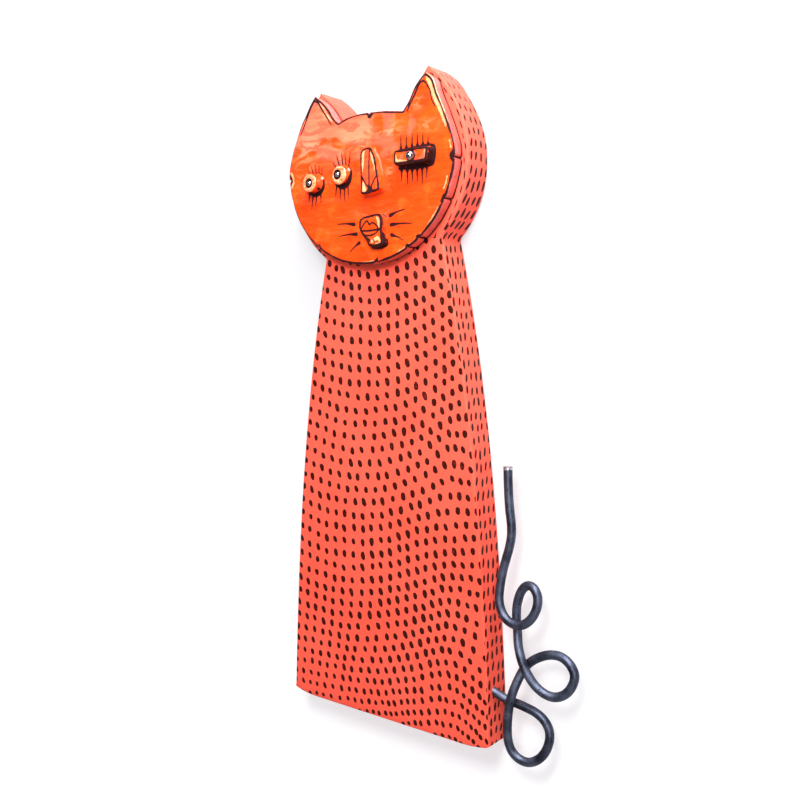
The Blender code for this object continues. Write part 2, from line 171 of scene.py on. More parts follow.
def sheet(ring, step, along=None):
    """Triangles that fill a ring, with points inside it at the given step and, where given, along drawn lines."""
    low, high = ring.min(0), ring.max(0)
    levels = np.arange(low[1] + step / 2, high[1], step * 0.87)
    grid = np.array([(x + (k % 2) * step / 2, z)
                     for k, z in enumerate(levels) for x in np.arange(low[0], high[0], step)])
    if along is not None:
        cell = 0.5 * step
        taken = {tuple(c) for c in np.floor(along / cell).astype(int)}
        near = [(i, j) for i in (-1, 0, 1) for j in (-1, 0, 1)]
        close = [any((a + i, b + j) in taken for i, j in near) for a, b in np.floor(grid / cell).astype(int)]
        grid = np.vstack([grid[~np.array(close)], along])
    inside = np.zeros(len(grid), bool)
    for a, b in zip(ring, np.roll(ring, -1, 0)):
        if a[1] != b[1]:
            level = (a[1] > grid[:, 1]) != (b[1] > grid[:, 1])
            inside ^= level & (grid[:, 0] < (b[0] - a[0]) * (grid[:, 1] - a[1]) / (b[1] - a[1]) + a[0])
    grid = grid[inside]
    grid = grid[gap_to(grid, closed(ring)) > 0.55 * step]
    made = delaunay_2d_cdt([Vector(p) for p in np.vstack([ring, grid])], [], [list(range(len(ring)))], 1, 1e-9)
    return np.array([tuple(p) for p in made[0]]), made[2]


def form(ring, rows, step, depth, drawn_along=None):
    """Closed form drawn in the front view: a front sheet, rows of wall round it and a back sheet.

    Each row is an inset and a level from 1 at the front to 0 at the back; depth(points, level) gives Y.
    Returns the points, the faces, each point's level and its place along the outline.
    """
    front, fill = sheet(inset(ring, rows[0][0]), step, drawn_along)
    count = len(ring)
    reach = reaches(ring)
    levels = [np.full(len(front), rows[0][1])]
    along = [np.concatenate([reach, np.full(len(front) - count, -1.0)])]
    points = [np.stack([front[:, 0], depth(front, rows[0][1]), front[:, 1]], 1)]
    faces = [tuple(f) for f in fill]
    starts, total = [0], len(front)
    for reach_in, level in rows[1:]:
        place = inset(ring, reach_in)
        points.append(np.stack([place[:, 0], depth(place, level), place[:, 1]], 1))
        levels.append(np.full(count, level))
        along.append(reach)
        starts.append(total)
        total += count
    for a, b in zip(starts, starts[1:]):
        faces += [(a + k, b + k, b + (k + 1) % count, a + (k + 1) % count) for k in range(count)]
    back, fill = sheet(inset(ring, rows[-1][0]), step * 6)
    extra = back[count:]
    points.append(np.stack([extra[:, 0], depth(extra, rows[-1][1]), extra[:, 1]], 1))
    levels.append(np.full(len(extra), rows[-1][1]))
    along.append(np.full(len(extra), -1.0))
    faces += [tuple(starts[-1] + k if k < count else total + k - count for k in reversed(f)) for f in fill]
    return np.vstack(points), faces, np.concatenate(levels), np.concatenate(along)


def placed(name, data):
    item = bpy.data.objects.new(name, data)
    bpy.context.scene.collection.objects.link(item)
    return item


def new_piece(name, points, faces, sharp=40):
    mesh = bpy.data.meshes.new(name)
    mesh.from_pydata([tuple(p) for p in points], [], faces)
    mesh.validate()
    mesh.shade_smooth()
    mesh.set_sharp_from_angle(angle=math.radians(sharp))
    return placed(name, mesh)


def store(mesh, name, kind, domain, values):
    made = mesh.attributes.new(name, kind, domain)
    made.data.foreach_set("vector" if kind == "FLOAT_VECTOR" else "value", np.asarray(values, np.float32).ravel())


def rubbed(edge, thick, *degrees):
    """Insets and levels that take a form's front round to its wall."""
    return [(edge * (1 - math.sin(a)), 1 - edge * (1 - math.cos(a)) / thick) for a in np.radians(degrees)]


board_ring = board_outline(board_spacing)
turns = rubbed(board_arris, board_thick, 0, 30, 60, 90)
board_rows = turns + [(0, level) for level in (0.8, 0.64, 0.48, 0.32, 0.16)] + [(i, 1 - s) for i, s in reversed(turns)]
board_points, board_faces, board_level, board_along = form(
    board_ring, board_rows, board_step, lambda p, level: np.full(len(p), -board_thick * level))
board = new_piece("painted_board", board_points, board_faces)

# The marks on the board: rows of dabbed dots that sag under the face, climb to the right lower down and crowd
# together by the base, and rows of dashes round the board's edge and round the front of the head. The tables
# say how many rows and columns are painted by the time the brush gets there: seven places across the board,
# eight heights from the base to the neck.

rows_painted = ((23.0, 23.4, 23.9, 24.5, 25.5, 26.2, 24.7), (17.3, 17.3, 17.5, 18.2, 19.4, 20.5, 19.1),
                (12.3, 11.7, 11.7, 12.4, 13.5, 14.7, 14.4), (7.6, 6.8, 6.6, 7.0, 8.1, 8.9, 9.4),
                (2.9, 1.9, 1.4, 1.7, 2.6, 4.2, 3.2), (-1.6, -3.0, -3.6, -3.6, -2.8, -1.1, 0.8),
                (-5.9, -7.7, -8.5, -8.8, -8.0, -6.4, -3.8), (-9.6, -11.9, -14.0, -14.0, -13.3, -11.3, -8.4))
columns_painted = ((-8.1, -4.0, -0.1, 5.0, 11.9, 17.7, 22.6), (-8.5, -4.9, -1.4, 2.0, 6.2, 11.0, 14.1),
                   (-8.9, -5.4, -2.1, 1.3, 5.1, 9.2, 13.3), (-9.3, -5.7, -2.3, 1.2, 4.8, 8.6, 12.4),
                   (-10.1, -6.4, -3.2, 0.0, 3.6, 7.6, 12.3), (-11.0, -7.4, -3.9, -0.6, 2.9, 6.9, 11.8),
                   (-13.1, -8.0, -4.2, -0.7, 3.1, 7.3, 13.0), (-15.2, -9.2, -3.9, -0.2, 2.7, 7.6, 13.6))
dot_reach = (0.095, 0.37)       # half width and height that the tables cover
dash_columns, dash_rows, first_dash = 0.0062, 0.0094, 0.0036
dots_end, bare_top = 0.364, (-0.056, 0.052)     # up to the neck, and the unmarked top between the ears
margin_dash, margin_reach, margin_thinner = 0.0024, 0.0075, 2.3     # the one row of dashes on the head's front


def from_table(table, across, up):
    """Smooth value between the entries of a table, which runs on straight past its ends."""
    rows, columns = np.shape(table)
    table = np.pad(np.array(table), 1, "reflect", reflect_type="odd")

    def shares(place, count):
        place = np.clip(place * (count - 1), 0, count - 1 - 1e-9)
        k = np.floor(place).astype(int)
        f = place - k
        return k, ((-f + 2 * f ** 2 - f ** 3) / 2, (2 - 5 * f ** 2 + 3 * f ** 3) / 2,
                   (f + 4 * f ** 2 - 3 * f ** 3) / 2, (f ** 3 - f ** 2) / 2)

    row, by_row = shares(up, rows)
    column, by_column = shares(across, columns)
    return sum(a * b * table[row + i, column + j] for i, a in enumerate(by_row) for j, b in enumerate(by_column))


def dot_place(x, z):
    """Column, row and size of the dots at a place on the front, and how far it is from one column and one row
    to the next, across and up, in millimetres."""
    across, up, step = (x / dot_reach[0] + 1) / 2, (z + hang_height) / dot_reach[1], 0.01
    found, rates = [], []
    for table in (columns_painted, rows_painted):
        found.append(from_table(table, across, up))
        sideways = from_table(table, across + step, up) - from_table(table, across - step, up)
        upwards = from_table(table, across, up + step) - from_table(table, across, up - step)
        rates += [sideways / (4000 * step * dot_reach[0]), upwards / (2000 * step * dot_reach[1])]
    a, b, c, d = rates
    turn = np.minimum(a * d - b * c, -0.004)
    size = 1.09 - 0.19 * np.clip(1.3 - up / 0.14, 0, 1) - 0.09 * (x / dot_reach[0]) ** 2
    return (np.stack(found + [size], 1), np.stack([d, -c, 0 * a], 1) / turn[:, None],
            np.stack([-b, a, 0 * a], 1) / turn[:, None])


mesh = board.data
corner_point = np.zeros(len(mesh.loops), np.int32)
mesh.loops.foreach_get("vertex_index", corner_point)
corner_face = np.repeat(np.arange(len(mesh.polygons)), [p.loop_total for p in mesh.polygons])
face_level = np.array([board_level[list(p.vertices)].mean() for p in mesh.polygons])
normal_up = np.array([p.normal.z for p in mesh.polygons])
face_x, face_z = np.array([(p.center.x, p.center.z) for p in mesh.polygons]).T
on_edge = (face_level < 0.985) & (face_level > 0.001)
between_ears = (face_z > 0) & (face_x > head_x + bare_top[0]) & (face_x < head_x + bare_top[1])
turned_up = on_edge & (normal_up > 0.3) & between_ears
neck = dots_end - hang_height
round_head = ~on_edge & (face_z > neck) & ~between_ears
in_reach = gap_to(np.stack([face_x, face_z], 1), closed(board_ring)) < margin_reach
marked = (face_level > 0.015) & (normal_up > -0.75) & ~turned_up
marked &= on_edge | (face_z < neck) | (round_head & in_reach)

ring_reach = reaches(board_ring)
flat = board_points[:, [0, 2]]
nearest = np.argmin(((flat[:, None] - board_ring[None]) ** 2).sum(2), 1)
course = np.roll(board_ring, -1, 0) - np.roll(board_ring, 1, 0)
course /= span(course)[:, None]
at_wall = board_along >= 0
rim_gap = np.where(at_wall, (board_level > 0.9) * board_arris, gap_to(flat, closed(board_ring)))
past_nearest = ((flat - board_ring[nearest]) * course[nearest]).sum(1)
arc = np.where(at_wall, board_along, ring_reach[nearest] + past_nearest)
wander = np.array([0.25 * math.sin(s / 0.037) + 0.15 * math.sin(s / 0.0113 + 1) for s in arc])
down_edge = (board_points[:, 1] + board_thick - first_dash) / dash_columns
past_margin = (rim_gap - margin_dash) / dash_columns
place, to_column, to_row = [values[corner_point] for values in dot_place(flat[:, 0], flat[:, 1])]
margin_corner = round_head[corner_face]
dashed = on_edge[corner_face] | margin_corner
bold = np.interp(flat[:, 1], (-hang_height, -0.06, -0.01, 0.05), (0.95, 0.95, 1.05, 0.72))
column = np.where(margin_corner, (past_margin + 20)[corner_point], (down_edge + 0.5 * wander)[corner_point])
row = (arc / dash_rows + 0.6 * wander)[corner_point] + 0.4 * margin_corner
first_only = np.where(margin_corner, np.clip(1 - past_margin[corner_point], 0.02, 1.4), 1)
place[dashed] = np.stack([column, row, bold[corner_point] * first_only], 1)[dashed]
to_column[dashed] = (dash_columns * 1000, 0, 0)
to_column[margin_corner] *= margin_thinner
to_row[dashed] = (0, -dash_rows * 1000, 0)
for title, values in (("mark_place", place), ("to_column", to_column), ("to_row", to_row)):
    store(mesh, title, "FLOAT_VECTOR", "CORNER", values)
store(mesh, "on_edge", "FLOAT", "FACE", on_edge | round_head)
store(mesh, "marked", "FLOAT", "FACE", marked)
store(mesh, "arris", "FLOAT", "POINT", (board_level > 0.955) & at_wall & (board_level < 1))


class Wiring:
    """Shorthand for wiring a node tree. Every value is a socket to link, or a number or colour to set."""

    def __init__(self, tree):
        self.tree = tree

    def feed(self, node, socket, value):
        if isinstance(value, bpy.types.NodeSocket):
            self.tree.links.new(value, node.inputs[socket])
        else:
            node.inputs[socket].default_value = value

    def put(self, kind, values=(), **settings):
        node = self.tree.nodes.new(kind)
        for name, value in settings.items():
            setattr(node, name, value)
        for name, value in dict(values).items():
            self.feed(node, name, value)
        return node

    def maths(self, operation, *values):
        return self.put("ShaderNodeMath", enumerate(values), operation=operation).outputs[0]

    def times(self, *values):
        return self.maths("MULTIPLY", *values)

    def plus(self, *values):
        return self.maths("ADD", *values)

    def less(self, *values):
        return self.maths("SUBTRACT", *values)

    def blend(self, share, first, second):
        return self.put("ShaderNodeMix", {0: share, 6: first, 7: second}, data_type="RGBA").outputs[2]

    def rise(self, value, low, high):
        """0 at low, 1 at high, eased at both."""
        return self.put("ShaderNodeMapRange", {"Value": value, "From Min": low, "From Max": high},
                        interpolation_type="SMOOTHSTEP").outputs[0]

    def named(self, attribute, kind="Fac"):
        return self.put("ShaderNodeAttribute", attribute_name=attribute).outputs[kind]

    def split(self, value):
        return self.put("ShaderNodeSeparateXYZ", {0: value}).outputs

    def place(self):
        return self.put("ShaderNodeTexCoord").outputs["Object"]

    def mottle(self, scale, detail, roughness=0.5, stretch=(1, 1, 1), seed=0.0, swirl=0.0):
        where = self.put("ShaderNodeMapping", {"Vector": self.place(), "Scale": stretch, "Location": (seed,) * 3})
        return self.put("ShaderNodeTexNoise", {"Vector": where.outputs[0], "Scale": scale, "Detail": detail,
                                               "Roughness": roughness, "Distortion": swirl}).outputs["Fac"]

    def tone(self, scale):
        return self.put("ShaderNodeGroup", {"Scale": scale}, node_tree=uneven_tone).outputs[0]

    def bump(self, shader, height, strength, distance):
        bump = self.put("ShaderNodeBump", {"Height": height, "Strength": strength, "Distance": distance})
        self.feed(shader, "Normal", bump.outputs[0])


def new_group(name, inputs, outputs):
    """Shader group with its sockets; returns its wiring, the sockets it is given and the node that puts out."""
    group = bpy.data.node_groups.new(name, "ShaderNodeTree")
    for title, kind, value in inputs:
        socket = group.interface.new_socket(title, in_out="INPUT", socket_type="NodeSocket" + kind)
        if value is not None:
            socket.default_value = value
    for title, kind in outputs:
        group.interface.new_socket(title, in_out="OUTPUT", socket_type="NodeSocket" + kind)
    w = Wiring(group)
    return w, w.put("NodeGroupInput").outputs, w.put("NodeGroupOutput")


def new_finish(name, roughness, metallic=0.0, **constants):
    finish = bpy.data.materials.new(name)
    finish.use_nodes = True
    shader = finish.node_tree.nodes["Principled BSDF"]
    shader.inputs["Roughness"].default_value = roughness
    shader.inputs["Metallic"].default_value = metallic
    for title, value in constants.items():
        shader.inputs[title.replace("_", " ")].default_value = value
    return finish, Wiring(finish.node_tree), shader


# Dabs of a small brush: one in each cell of the marks' own grid, each a little off its place, its size and
# its lean, with an edge as ragged as a drying brush leaves it.
w, given, put_out = new_group("brush_dabs", [
    ("Place", "Vector", None), ("To Column", "Vector", None), ("To Row", "Vector", None), ("Half Width", "Float", 1.9),
    ("Half Length", "Float", 2.65), ("Looseness", "Float", 0.1), ("Seed", "Float", 0.0)],
    [("Mask", "Float"), ("Random", "Float")])
across, down, boldness = w.split(given["Place"])
cell_u, cell_v = w.maths("ROUND", across), w.maths("ROUND", down)
cell = w.put("ShaderNodeCombineXYZ", {0: cell_u, 1: cell_v, 2: given["Seed"]}).outputs[0]
chance_u, chance_v, chance_size = w.split(
    w.put("ShaderNodeTexWhiteNoise", {"Vector": cell}, noise_dimensions="3D").outputs["Color"])
chance_lean, chance_tall, chance_taper = w.split(
    w.put("ShaderNodeTexWhiteNoise", {"Vector": cell, "W": 3.7}, noise_dimensions="4D").outputs["Color"])
off_u = w.times(w.less(chance_u, 0.5), given["Looseness"])
off_v = w.times(w.less(chance_v, 0.5), given["Looseness"])
du = w.less(w.less(across, cell_u), off_u)
dv = w.less(w.less(down, cell_v), off_v)
by_column = w.put("ShaderNodeVectorMath", {0: given["To Column"], "Scale": du}, operation="SCALE").outputs[0]
by_row = w.put("ShaderNodeVectorMath", {0: given["To Row"], "Scale": dv}, operation="SCALE").outputs[0]
dx, dz = w.split(w.put("ShaderNodeVectorMath", {0: by_column, 1: by_row}).outputs[0])[:2]
dx = w.plus(dx, w.times(dz, w.times(w.plus(chance_lean, 0.1), 0.28)))
size = w.times(w.plus(w.times(chance_size, 0.2), 0.9), boldness)
tall = w.plus(w.times(chance_tall, 0.24), 0.88)
taper = w.plus(1.0, w.times(w.maths("DIVIDE", dz, given["Half Length"]), w.times(w.less(chance_taper, 0.4), 0.3)))
wide_share = w.maths("DIVIDE", dx, w.times(w.times(given["Half Width"], size), taper))
tall_share = w.maths("DIVIDE", dz, w.times(given["Half Length"], w.times(size, tall)))
rounded = [w.maths("POWER", w.maths("ABSOLUTE", share), 2.2) for share in (wide_share, tall_share)]
gap = w.maths("SQRT", w.plus(*rounded))
ragged = w.times(w.less(w.mottle(900, 2), 0.5), 0.4)
w.feed(put_out, "Mask", w.rise(w.plus(gap, ragged), 1.06, 0.92))
w.feed(put_out, "Random", chance_tall)
brush_dabs = w.tree

# Tone that drifts over a surface, as hand-laid paint, glaze and scale do.
w, given, put_out = new_group("uneven_tone", [("Scale", "Float", 30.0)], [("Mask", "Float")])
drift = w.put("ShaderNodeTexNoise", {"Vector": w.place(), "Scale": given["Scale"], "Detail": 4.0})
spread = w.put("ShaderNodeMapRange", {"Value": drift.outputs["Fac"], "From Min": 0.3, "From Max": 0.7})
w.feed(put_out, "Mask", spread.outputs[0])
uneven_tone = w.tree

coral_paint, w, shader = new_finish("coral_paint", 0.42, Specular_IOR_Level=0.1)
drift = w.tone(14.0)
paint = w.blend(drift, (0.91, 0.092, 0.056, 1), (0.95, 0.115, 0.073, 1))
strokes = w.mottle(260, 3, 0.6, (1, 1, 0.1))
paint = w.blend(w.times(w.rise(strokes, 0.35, 0.75), 0.2), paint, (0.84, 0.072, 0.042, 1))
# Lighter coral in patches along the arris.
arris_lighter = w.times(w.named("arris"), w.rise(w.mottle(120, 3), 0.42, 0.62))
paint = w.blend(w.times(arris_lighter, 0.08), paint, (0.98, 0.25, 0.19, 1))
steps = {title: w.named(attribute, "Vector") for title, attribute in (
    ("Place", "mark_place"), ("To Column", "to_column"), ("To Row", "to_row"))}
dots = w.put("ShaderNodeGroup", {**steps, "Looseness": 0.14}, node_tree=brush_dabs)
dashes = w.put("ShaderNodeGroup", {**steps, "Half Width": 1.45, "Half Length": 3.3, "Looseness": 0.26, "Seed": 5.0},
               node_tree=brush_dabs)
edge = w.named("on_edge")
marks = w.plus(w.times(dots.outputs[0], w.less(1.0, edge)), w.times(dashes.outputs[0], edge))
marks = w.times(marks, w.named("marked"))
thin = w.times(w.rise(w.mottle(700, 3), 0.5, 0.72), w.rise(dots.outputs["Random"], 0.78, 0.98))
black = w.blend(thin, (0.01, 0.003, 0.002, 1), (0.16, 0.02, 0.012, 1))
w.feed(shader, "Base Color", w.blend(w.times(marks, 0.97), paint, black))
w.feed(shader, "Roughness", w.plus(w.times(drift, 0.08), 0.38))
height = w.plus(w.times(strokes, 0.5), w.times(w.mottle(1500, 2), 0.25))
w.bump(shader, w.plus(height, w.times(marks, 0.35)), 0.3, 0.00025)
board.data.materials.append(coral_paint)
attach(board, "root")
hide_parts("wooden_body")


# THE CERAMIC FACE
# A 10 mm slab of clay cut by hand to the cat's head, its rim nicked before firing. It lies flat on the board
# and carries two turned eyes, one oblong eye, a nose and a mouth, all luted on and fired under one orange glaze.

face_thick = 0.01
face_gap = 0.0003
face_half = 0.0795
face_edge = 0.001
face_runs = (
    ((1.000, -0.010), (0.985, 0.085), (0.945, 0.200), (0.866, 0.385), (0.808, 0.512), (0.765, 0.635), (0.690, 0.697)),
    ((0.690, 0.697), (0.635, 0.660), (0.566, 0.588), (0.505, 0.486), (0.435, 0.404)),
    ((0.435, 0.404), (0.236, 0.434), (0.070, 0.449), (-0.087, 0.454), (-0.248, 0.438), (-0.336, 0.409)),
    ((-0.336, 0.409), (-0.385, 0.455), (-0.450, 0.546), (-0.538, 0.636), (-0.632, 0.703)),
    ((-0.632, 0.703), (-0.685, 0.648), (-0.745, 0.570), (-0.836, 0.433), (-0.922, 0.240), (-0.980, 0.084),
     (-0.994, -0.030)),
)
nick_depth, nick_width = 0.0014, 0.0036
ink_spread = 1.4
nicks = (84, -4, -25, -50, -59, -82, -129, 184)      # directions from the middle of the head, in degrees
slab_front = -(board_thick + face_thick)
slab_spacing, slab_step = 0.0009, 0.00085


def ripple(points, size, seed):
    return np.array([noise.noise(Vector((p[0] / size, p[1] / size, seed))) for p in points])


face_ring = [curve_through(run) * face_half for run in face_runs]
face_ring.append(chin_run(face_runs[-1][-1], face_runs[0][0], 0.0, 0.934) * face_half)
face_ring = joined(face_ring, slab_spacing)
bearing = np.degrees(np.arctan2(face_ring[:, 1], face_ring[:, 0]))
outward = face_ring / span(face_ring)[:, None]
nick_places = [np.argmin(np.abs((bearing - degrees + 180) % 360 - 180)) for degrees in nicks]
for k in nick_places:
    off = span(face_ring - face_ring[k])
    face_ring = face_ring - outward * (np.clip(1 - off / (nick_width / 2), 0, 1) * nick_depth)[:, None]
hand_cut = 0.00028 * ripple(face_ring, 0.012, 3.0) + 0.0001 * ripple(face_ring, 0.004, 8.0)
face_ring = face_ring + outward * hand_cut[:, None]
nick_points = face_ring[nick_places]
slab_ring = face_ring + head_middle


def slab_depth(points, level):
    """Hand-rolled clay: the front swells and dips by a few tenths of a millimetre."""
    local = points - head_middle
    roll = 0.00028 * ripple(local, 0.03, 1.0) + 0.00012 * ripple(local, 0.011, 5.0)
    return -(board_thick + face_gap) - (face_thick - face_gap + roll - 0.0002) * level


slab_rows = rubbed(face_edge, face_thick, 0, 20, 40, 60, 90)
slab_rows += [(0, level) for level in (0.78, 0.66, 0.54, 0.42, 0.3, 0.2, 0.12, 0.06, 0.025)] + [(0.0003, 0)]


def brush(points, *stops):
    """A drawn line, given in millimetres: its course through the points, and its half width at even stops."""
    line = np.array(points, float) * 0.001
    line = curve_through(line, 4) if len(points) > 2 else line
    half = np.interp(np.linspace(0, 1, len(line)), np.linspace(0, 1, len(stops)), stops) * 0.001
    return line, half


def bled(lines):
    """Lines as wide as the black ran out to in the firing."""
    return [(line, half * ink_spread) for line, half in lines]


def lash(root, tip, wide):
    """A quick stroke away from the eye, heavy at its root."""
    third = ((root[0] * 2 + tip[0]) / 3, (root[1] * 2 + tip[1]) / 3)
    return brush((root, third, tip), wide, wide * 0.46, wide * 0.34, 0.2)


# Black lines brushed on the slab under the glaze, in millimetres from the middle of the head.
ink_lines = [
    brush(((38.7, 31.2), (41.4, 35.6), (45.8, 41.8), (49.4, 48.1), (52.8, 49.9)), 0.35, 0.5, 0.5),
    brush(((52.8, 49.9), (55.4, 47.7), (58.9, 41.7), (60.1, 36.0), (63.1, 30.8)), 0.5, 0.4, 0.3),
    brush(((-65.9, 29.0), (-60.9, 36.7), (-56.5, 45.2), (-51.1, 52.6)), 0.3, 0.5, 0.5),
    brush(((-51.1, 52.6), (-47.0, 50.4), (-42.9, 44.6), (-37.8, 37.8), (-33.8, 32.0)), 0.5, 0.45, 0.3),
    brush(((0.8, 36.3), (4.1, 32.2), (7.5, 35.3)), 0.4, 0.8, 0.4),
    brush(((-28.5, 33.5), (-25.5, 32.2)), 1.0, 0.7), brush(((33.0, 32.6), (35.6, 31.6)), 0.9, 0.7),
    brush(((78.9, 0.1), (75.9, -4.2), (78.9, -10.0)), 0.4, 0.8, 0.4),
    brush(((70.6, -30.5), (68.0, -34.5)), 0.8, 0.5), brush(((49.9, -59.9), (47.4, -58.4)), 0.9, 0.4),
    brush(((9.6, -72.4), (10.8, -70.4)), 0.9, 0.4), brush(((-48.4, -59.2), (-46.6, -57.0)), 0.7, 0.3),
    brush(((-77.6, -0.3), (-75.6, -5.0), (-77.6, -9.6)), 0.3, 0.5, 0.3),
]
# The lashes over the three eyes, and then those under them, each from its root to its tip.
for root, tip in (((-54.6, -5.6), (-57.2, -0.3)), ((-52.2, -4.4), (-55.0, 4.0)), ((-49.6, -3.8), (-50.7, 4.2)),
                  ((-46.8, -4.0), (-46.6, 3.3)), ((-44.2, -5.4), (-43.4, 1.1)),
                  ((-27.6, -2.6), (-32.1, 3.5)), ((-25.0, -1.0), (-29.0, 9.1)), ((-22.0, -0.4), (-23.9, 9.9)),
                  ((-19.2, -0.8), (-20.0, 7.2)), ((-16.8, -2.4), (-15.0, 9.5)),
                  ((33.0, 5.6), (32.8, 15.3)), ((37.8, 5.8), (37.7, 14.6)), ((42.8, 6.0), (43.1, 15.6)),
                  ((47.6, 6.2), (47.5, 14.7)), ((52.4, 6.3), (52.3, 14.0)), ((56.8, 6.0), (57.1, 11.3)),
                  ((-56.6, -15.5), (-58.0, -24.0)), ((-53.0, -17.4), (-54.9, -28.9)), ((-49.2, -17.9), (-50.6, -27.0)),
                  ((-45.2, -16.9), (-44.8, -25.2)),
                  ((-28.2, -12.4), (-29.8, -21.8)), ((-24.8, -14.4), (-25.3, -25.2)), ((-21.0, -14.8), (-20.8, -26.7)),
                  ((-17.4, -13.4), (-16.8, -24.2)),
                  ((33.6, -9.0), (33.5, -17.1)), ((38.6, -9.4), (38.9, -19.8)), ((43.0, -9.6), (43.0, -18.8)),
                  ((47.5, -9.6), (47.4, -19.3)), ((51.8, -9.4), (51.8, -21.1)), ((55.9, -9.0), (55.7, -17.4))):
    ink_lines.append(lash(root, tip, 1.15 if tip[1] < root[1] else 1.05))
# The whiskers, three to a side, each from the dot that it grows out of.
for dot, tip in (((-11.5, -44.2), (-27.5, -42.8)), ((-9.6, -51.4), (-26.6, -52.0)), ((-6.7, -58.2), (-15.7, -64.3)),
                 ((22.9, -40.5), (36.6, -37.1)), ((23.8, -47.2), (42.9, -47.7)), ((24.2, -54.5), (34.7, -58.9))):
    middle = ((dot[0] + tip[0]) / 2, (dot[1] + tip[1]) / 2 + 0.5)
    ink_lines.append(brush((dot, middle, tip), 1.05, 0.85, 0.5, 0.42, 0.38, 0.32, 0.18))
# Bands of black underglaze where the eyes meet the slab, with painted shade in those under the round eyes, heavier
# below and to the right; then cream where the glaze ran off an edge, with a painted highlight up the right ear.
ink_and_shade_bands = [
    # The first band, under the left eye, and the third, under the middle eye, are partly painted shade.
    brush(((-56.4, -16.2), (-52.0, -18.2), (-47.6, -18.2), (-43.6, -16.0), (-41.8, -12.4), (-41.6, -8.8)),
          1.2, 1.7, 1.6, 1.2, 0.5),
    brush(((-53.0, -3.4), (-48.6, -2.6), (-44.8, -4.2), (-42.2, -7.4)), 0.3, 0.7, 0.8, 0.4),
    brush(((-28.4, -12.4), (-25.0, -14.8), (-20.8, -15.2), (-16.8, -13.2), (-14.6, -9.6), (-14.2, -5.2), (-16.4, -1.8),
           (-20.6, 0.0)), 1.0, 1.8, 2.0, 1.8, 1.3, 1.1, 0.9, 0.4),
    brush(((31.0, 4.4), (45.0, 4.8), (58.0, 5.0), (62.4, 3.6), (63.0, -2.4), (61.6, -8.0)),
          0.9, 1.1, 1.1, 0.9, 0.8, 0.9),
    brush(((31.6, -7.9), (46.0, -8.7), (60.6, -8.6)), 0.8, 1.4, 1.1),
]
cream_and_highlight_lines = [
    brush(((50.6, 51.0), (53.6, 53.4)), 0.7, 0.8),
    # This wide stroke up the right ear is partly cream glaze and partly a painted highlight on its rounded edge.
    brush(((56.4, 51.6), (59.4, 47.6), (61.6, 41.6), (64.0, 35.0), (68.0, 26.4), (72.0, 16.4)),
          1.3, 2.4, 2.3, 1.6, 1.1, 0.6),
    brush(((75.2, 6.0), (76.2, 1.5)), 0.3, 0.5), brush(((73.4, -18.0), (70.6, -26.0)), 0.3, 0.6),
    brush(((65.4, -38.6), (56.4, -50.2), (43.4, -60.6), (29.6, -67.0)), 0.4, 0.7, 0.5, 0.7, 0.4),
    brush(((-76.8, 0.6), (-75.0, -3.0), (-74.8, -7.0), (-76.8, -11.0)), 1.1, 1.5, 1.3, 0.6),
    brush(((-5.0, -72.8), (8.0, -72.4)), 0.3, 0.5), brush(((26.0, 33.6), (34.0, 32.0)), 0.3, 0.4),
    brush(((36.6, 33.0), (40.0, 38.8), (44.6, 45.6), (48.6, 51.0)), 0.3, 0.6, 0.6, 0.5),
    brush(((-47.6, 52.8), (-42.0, 46.2), (-36.6, 38.6), (-33.0, 34.6)), 0.4, 0.5, 0.5, 0.3),
]


def drawn(points, lines):
    """Signed distance to the nearest drawn line in millimetres, kept between -1.5 and 6."""
    best = np.full(len(points), 0.006)
    for line, half in lines:
        best = np.minimum(best, gap_to(points, line, half))
    return np.clip(best * 1000, -1.5, 6)


def middles(lines, spacing=0.0004):
    """Points along the middles of drawn lines, none closer together than the spacing."""
    spots = {}
    for line, half in lines:
        for spot in evenly(line, spacing):
            spots.setdefault(tuple(np.floor(spot / spacing).astype(int)), spot)
    return np.array(list(spots.values()))


line_spots = middles(ink_lines + cream_and_highlight_lines) + head_middle
slab_points, slab_faces, slab_level, slab_along = form(slab_ring, slab_rows, slab_step, slab_depth, line_spots)
local = slab_points[:, [0, 2]] - head_middle
# Black underglaze lines and bands, together with the painted shade under the round eyes.
slab_ink_and_shade = drawn(local, bled(ink_lines) + ink_and_shade_bands)
slab_cream_and_highlight = drawn(local, cream_and_highlight_lines)
to_rim = gap_to(local, closed(face_ring)) * 1000
rim_line_in, rim_line_half, cross_half = 0.75, 0.82, 0.72       # in millimetres
back_line_depth, back_line_half, front_line_depth, front_line_half = 9.1, 0.95, 0.3, 0.25
around = np.degrees(np.arctan2(local[:, 1], local[:, 0]))
patchy = ripple(local, 0.009, 21.0)
# The line round the rim is hardly drawn at the left, and bold round the ears.
weak = np.interp(around, (-180, -150, -125, -100, 140, 156, 180), (0.5, 0.4, 0.25, 0.0, 0.0, 0.45, 0.5))
strong = np.interp(around, (20, 30, 60, 75, 110, 128, 150, 160), (0, 0.2, 0.2, -0.1, -0.1, 0.2, 0.2, 0))
rim_line = np.abs(to_rim - rim_line_in) - np.clip(rim_line_half + 0.45 * patchy + strong - weak, -0.4, 1.15)
slab_ink_and_shade = np.minimum(slab_ink_and_shade, rim_line)
depth_mm = (1 - slab_level) * face_thick * 1000
wall = (slab_along >= 0) & (depth_mm > 0.5)
wave = 0.5 * ripple(np.stack([slab_along, slab_along * 0], 1), 0.013, 31.0)
back_line = np.abs(depth_mm - back_line_depth - 0.5 * wave) - back_line_half - 0.15 * patchy
front_line = np.abs(depth_mm - front_line_depth + 0.5 * wave) - front_line_half - 0.45 * patchy + 2 * (strong > 0)
cross = np.min([span(local - p) * 1000 for p in nick_points], axis=0) - cross_half
slab_ink_and_shade = np.where(wall, np.minimum(np.minimum(back_line, front_line), cross), slab_ink_and_shade)
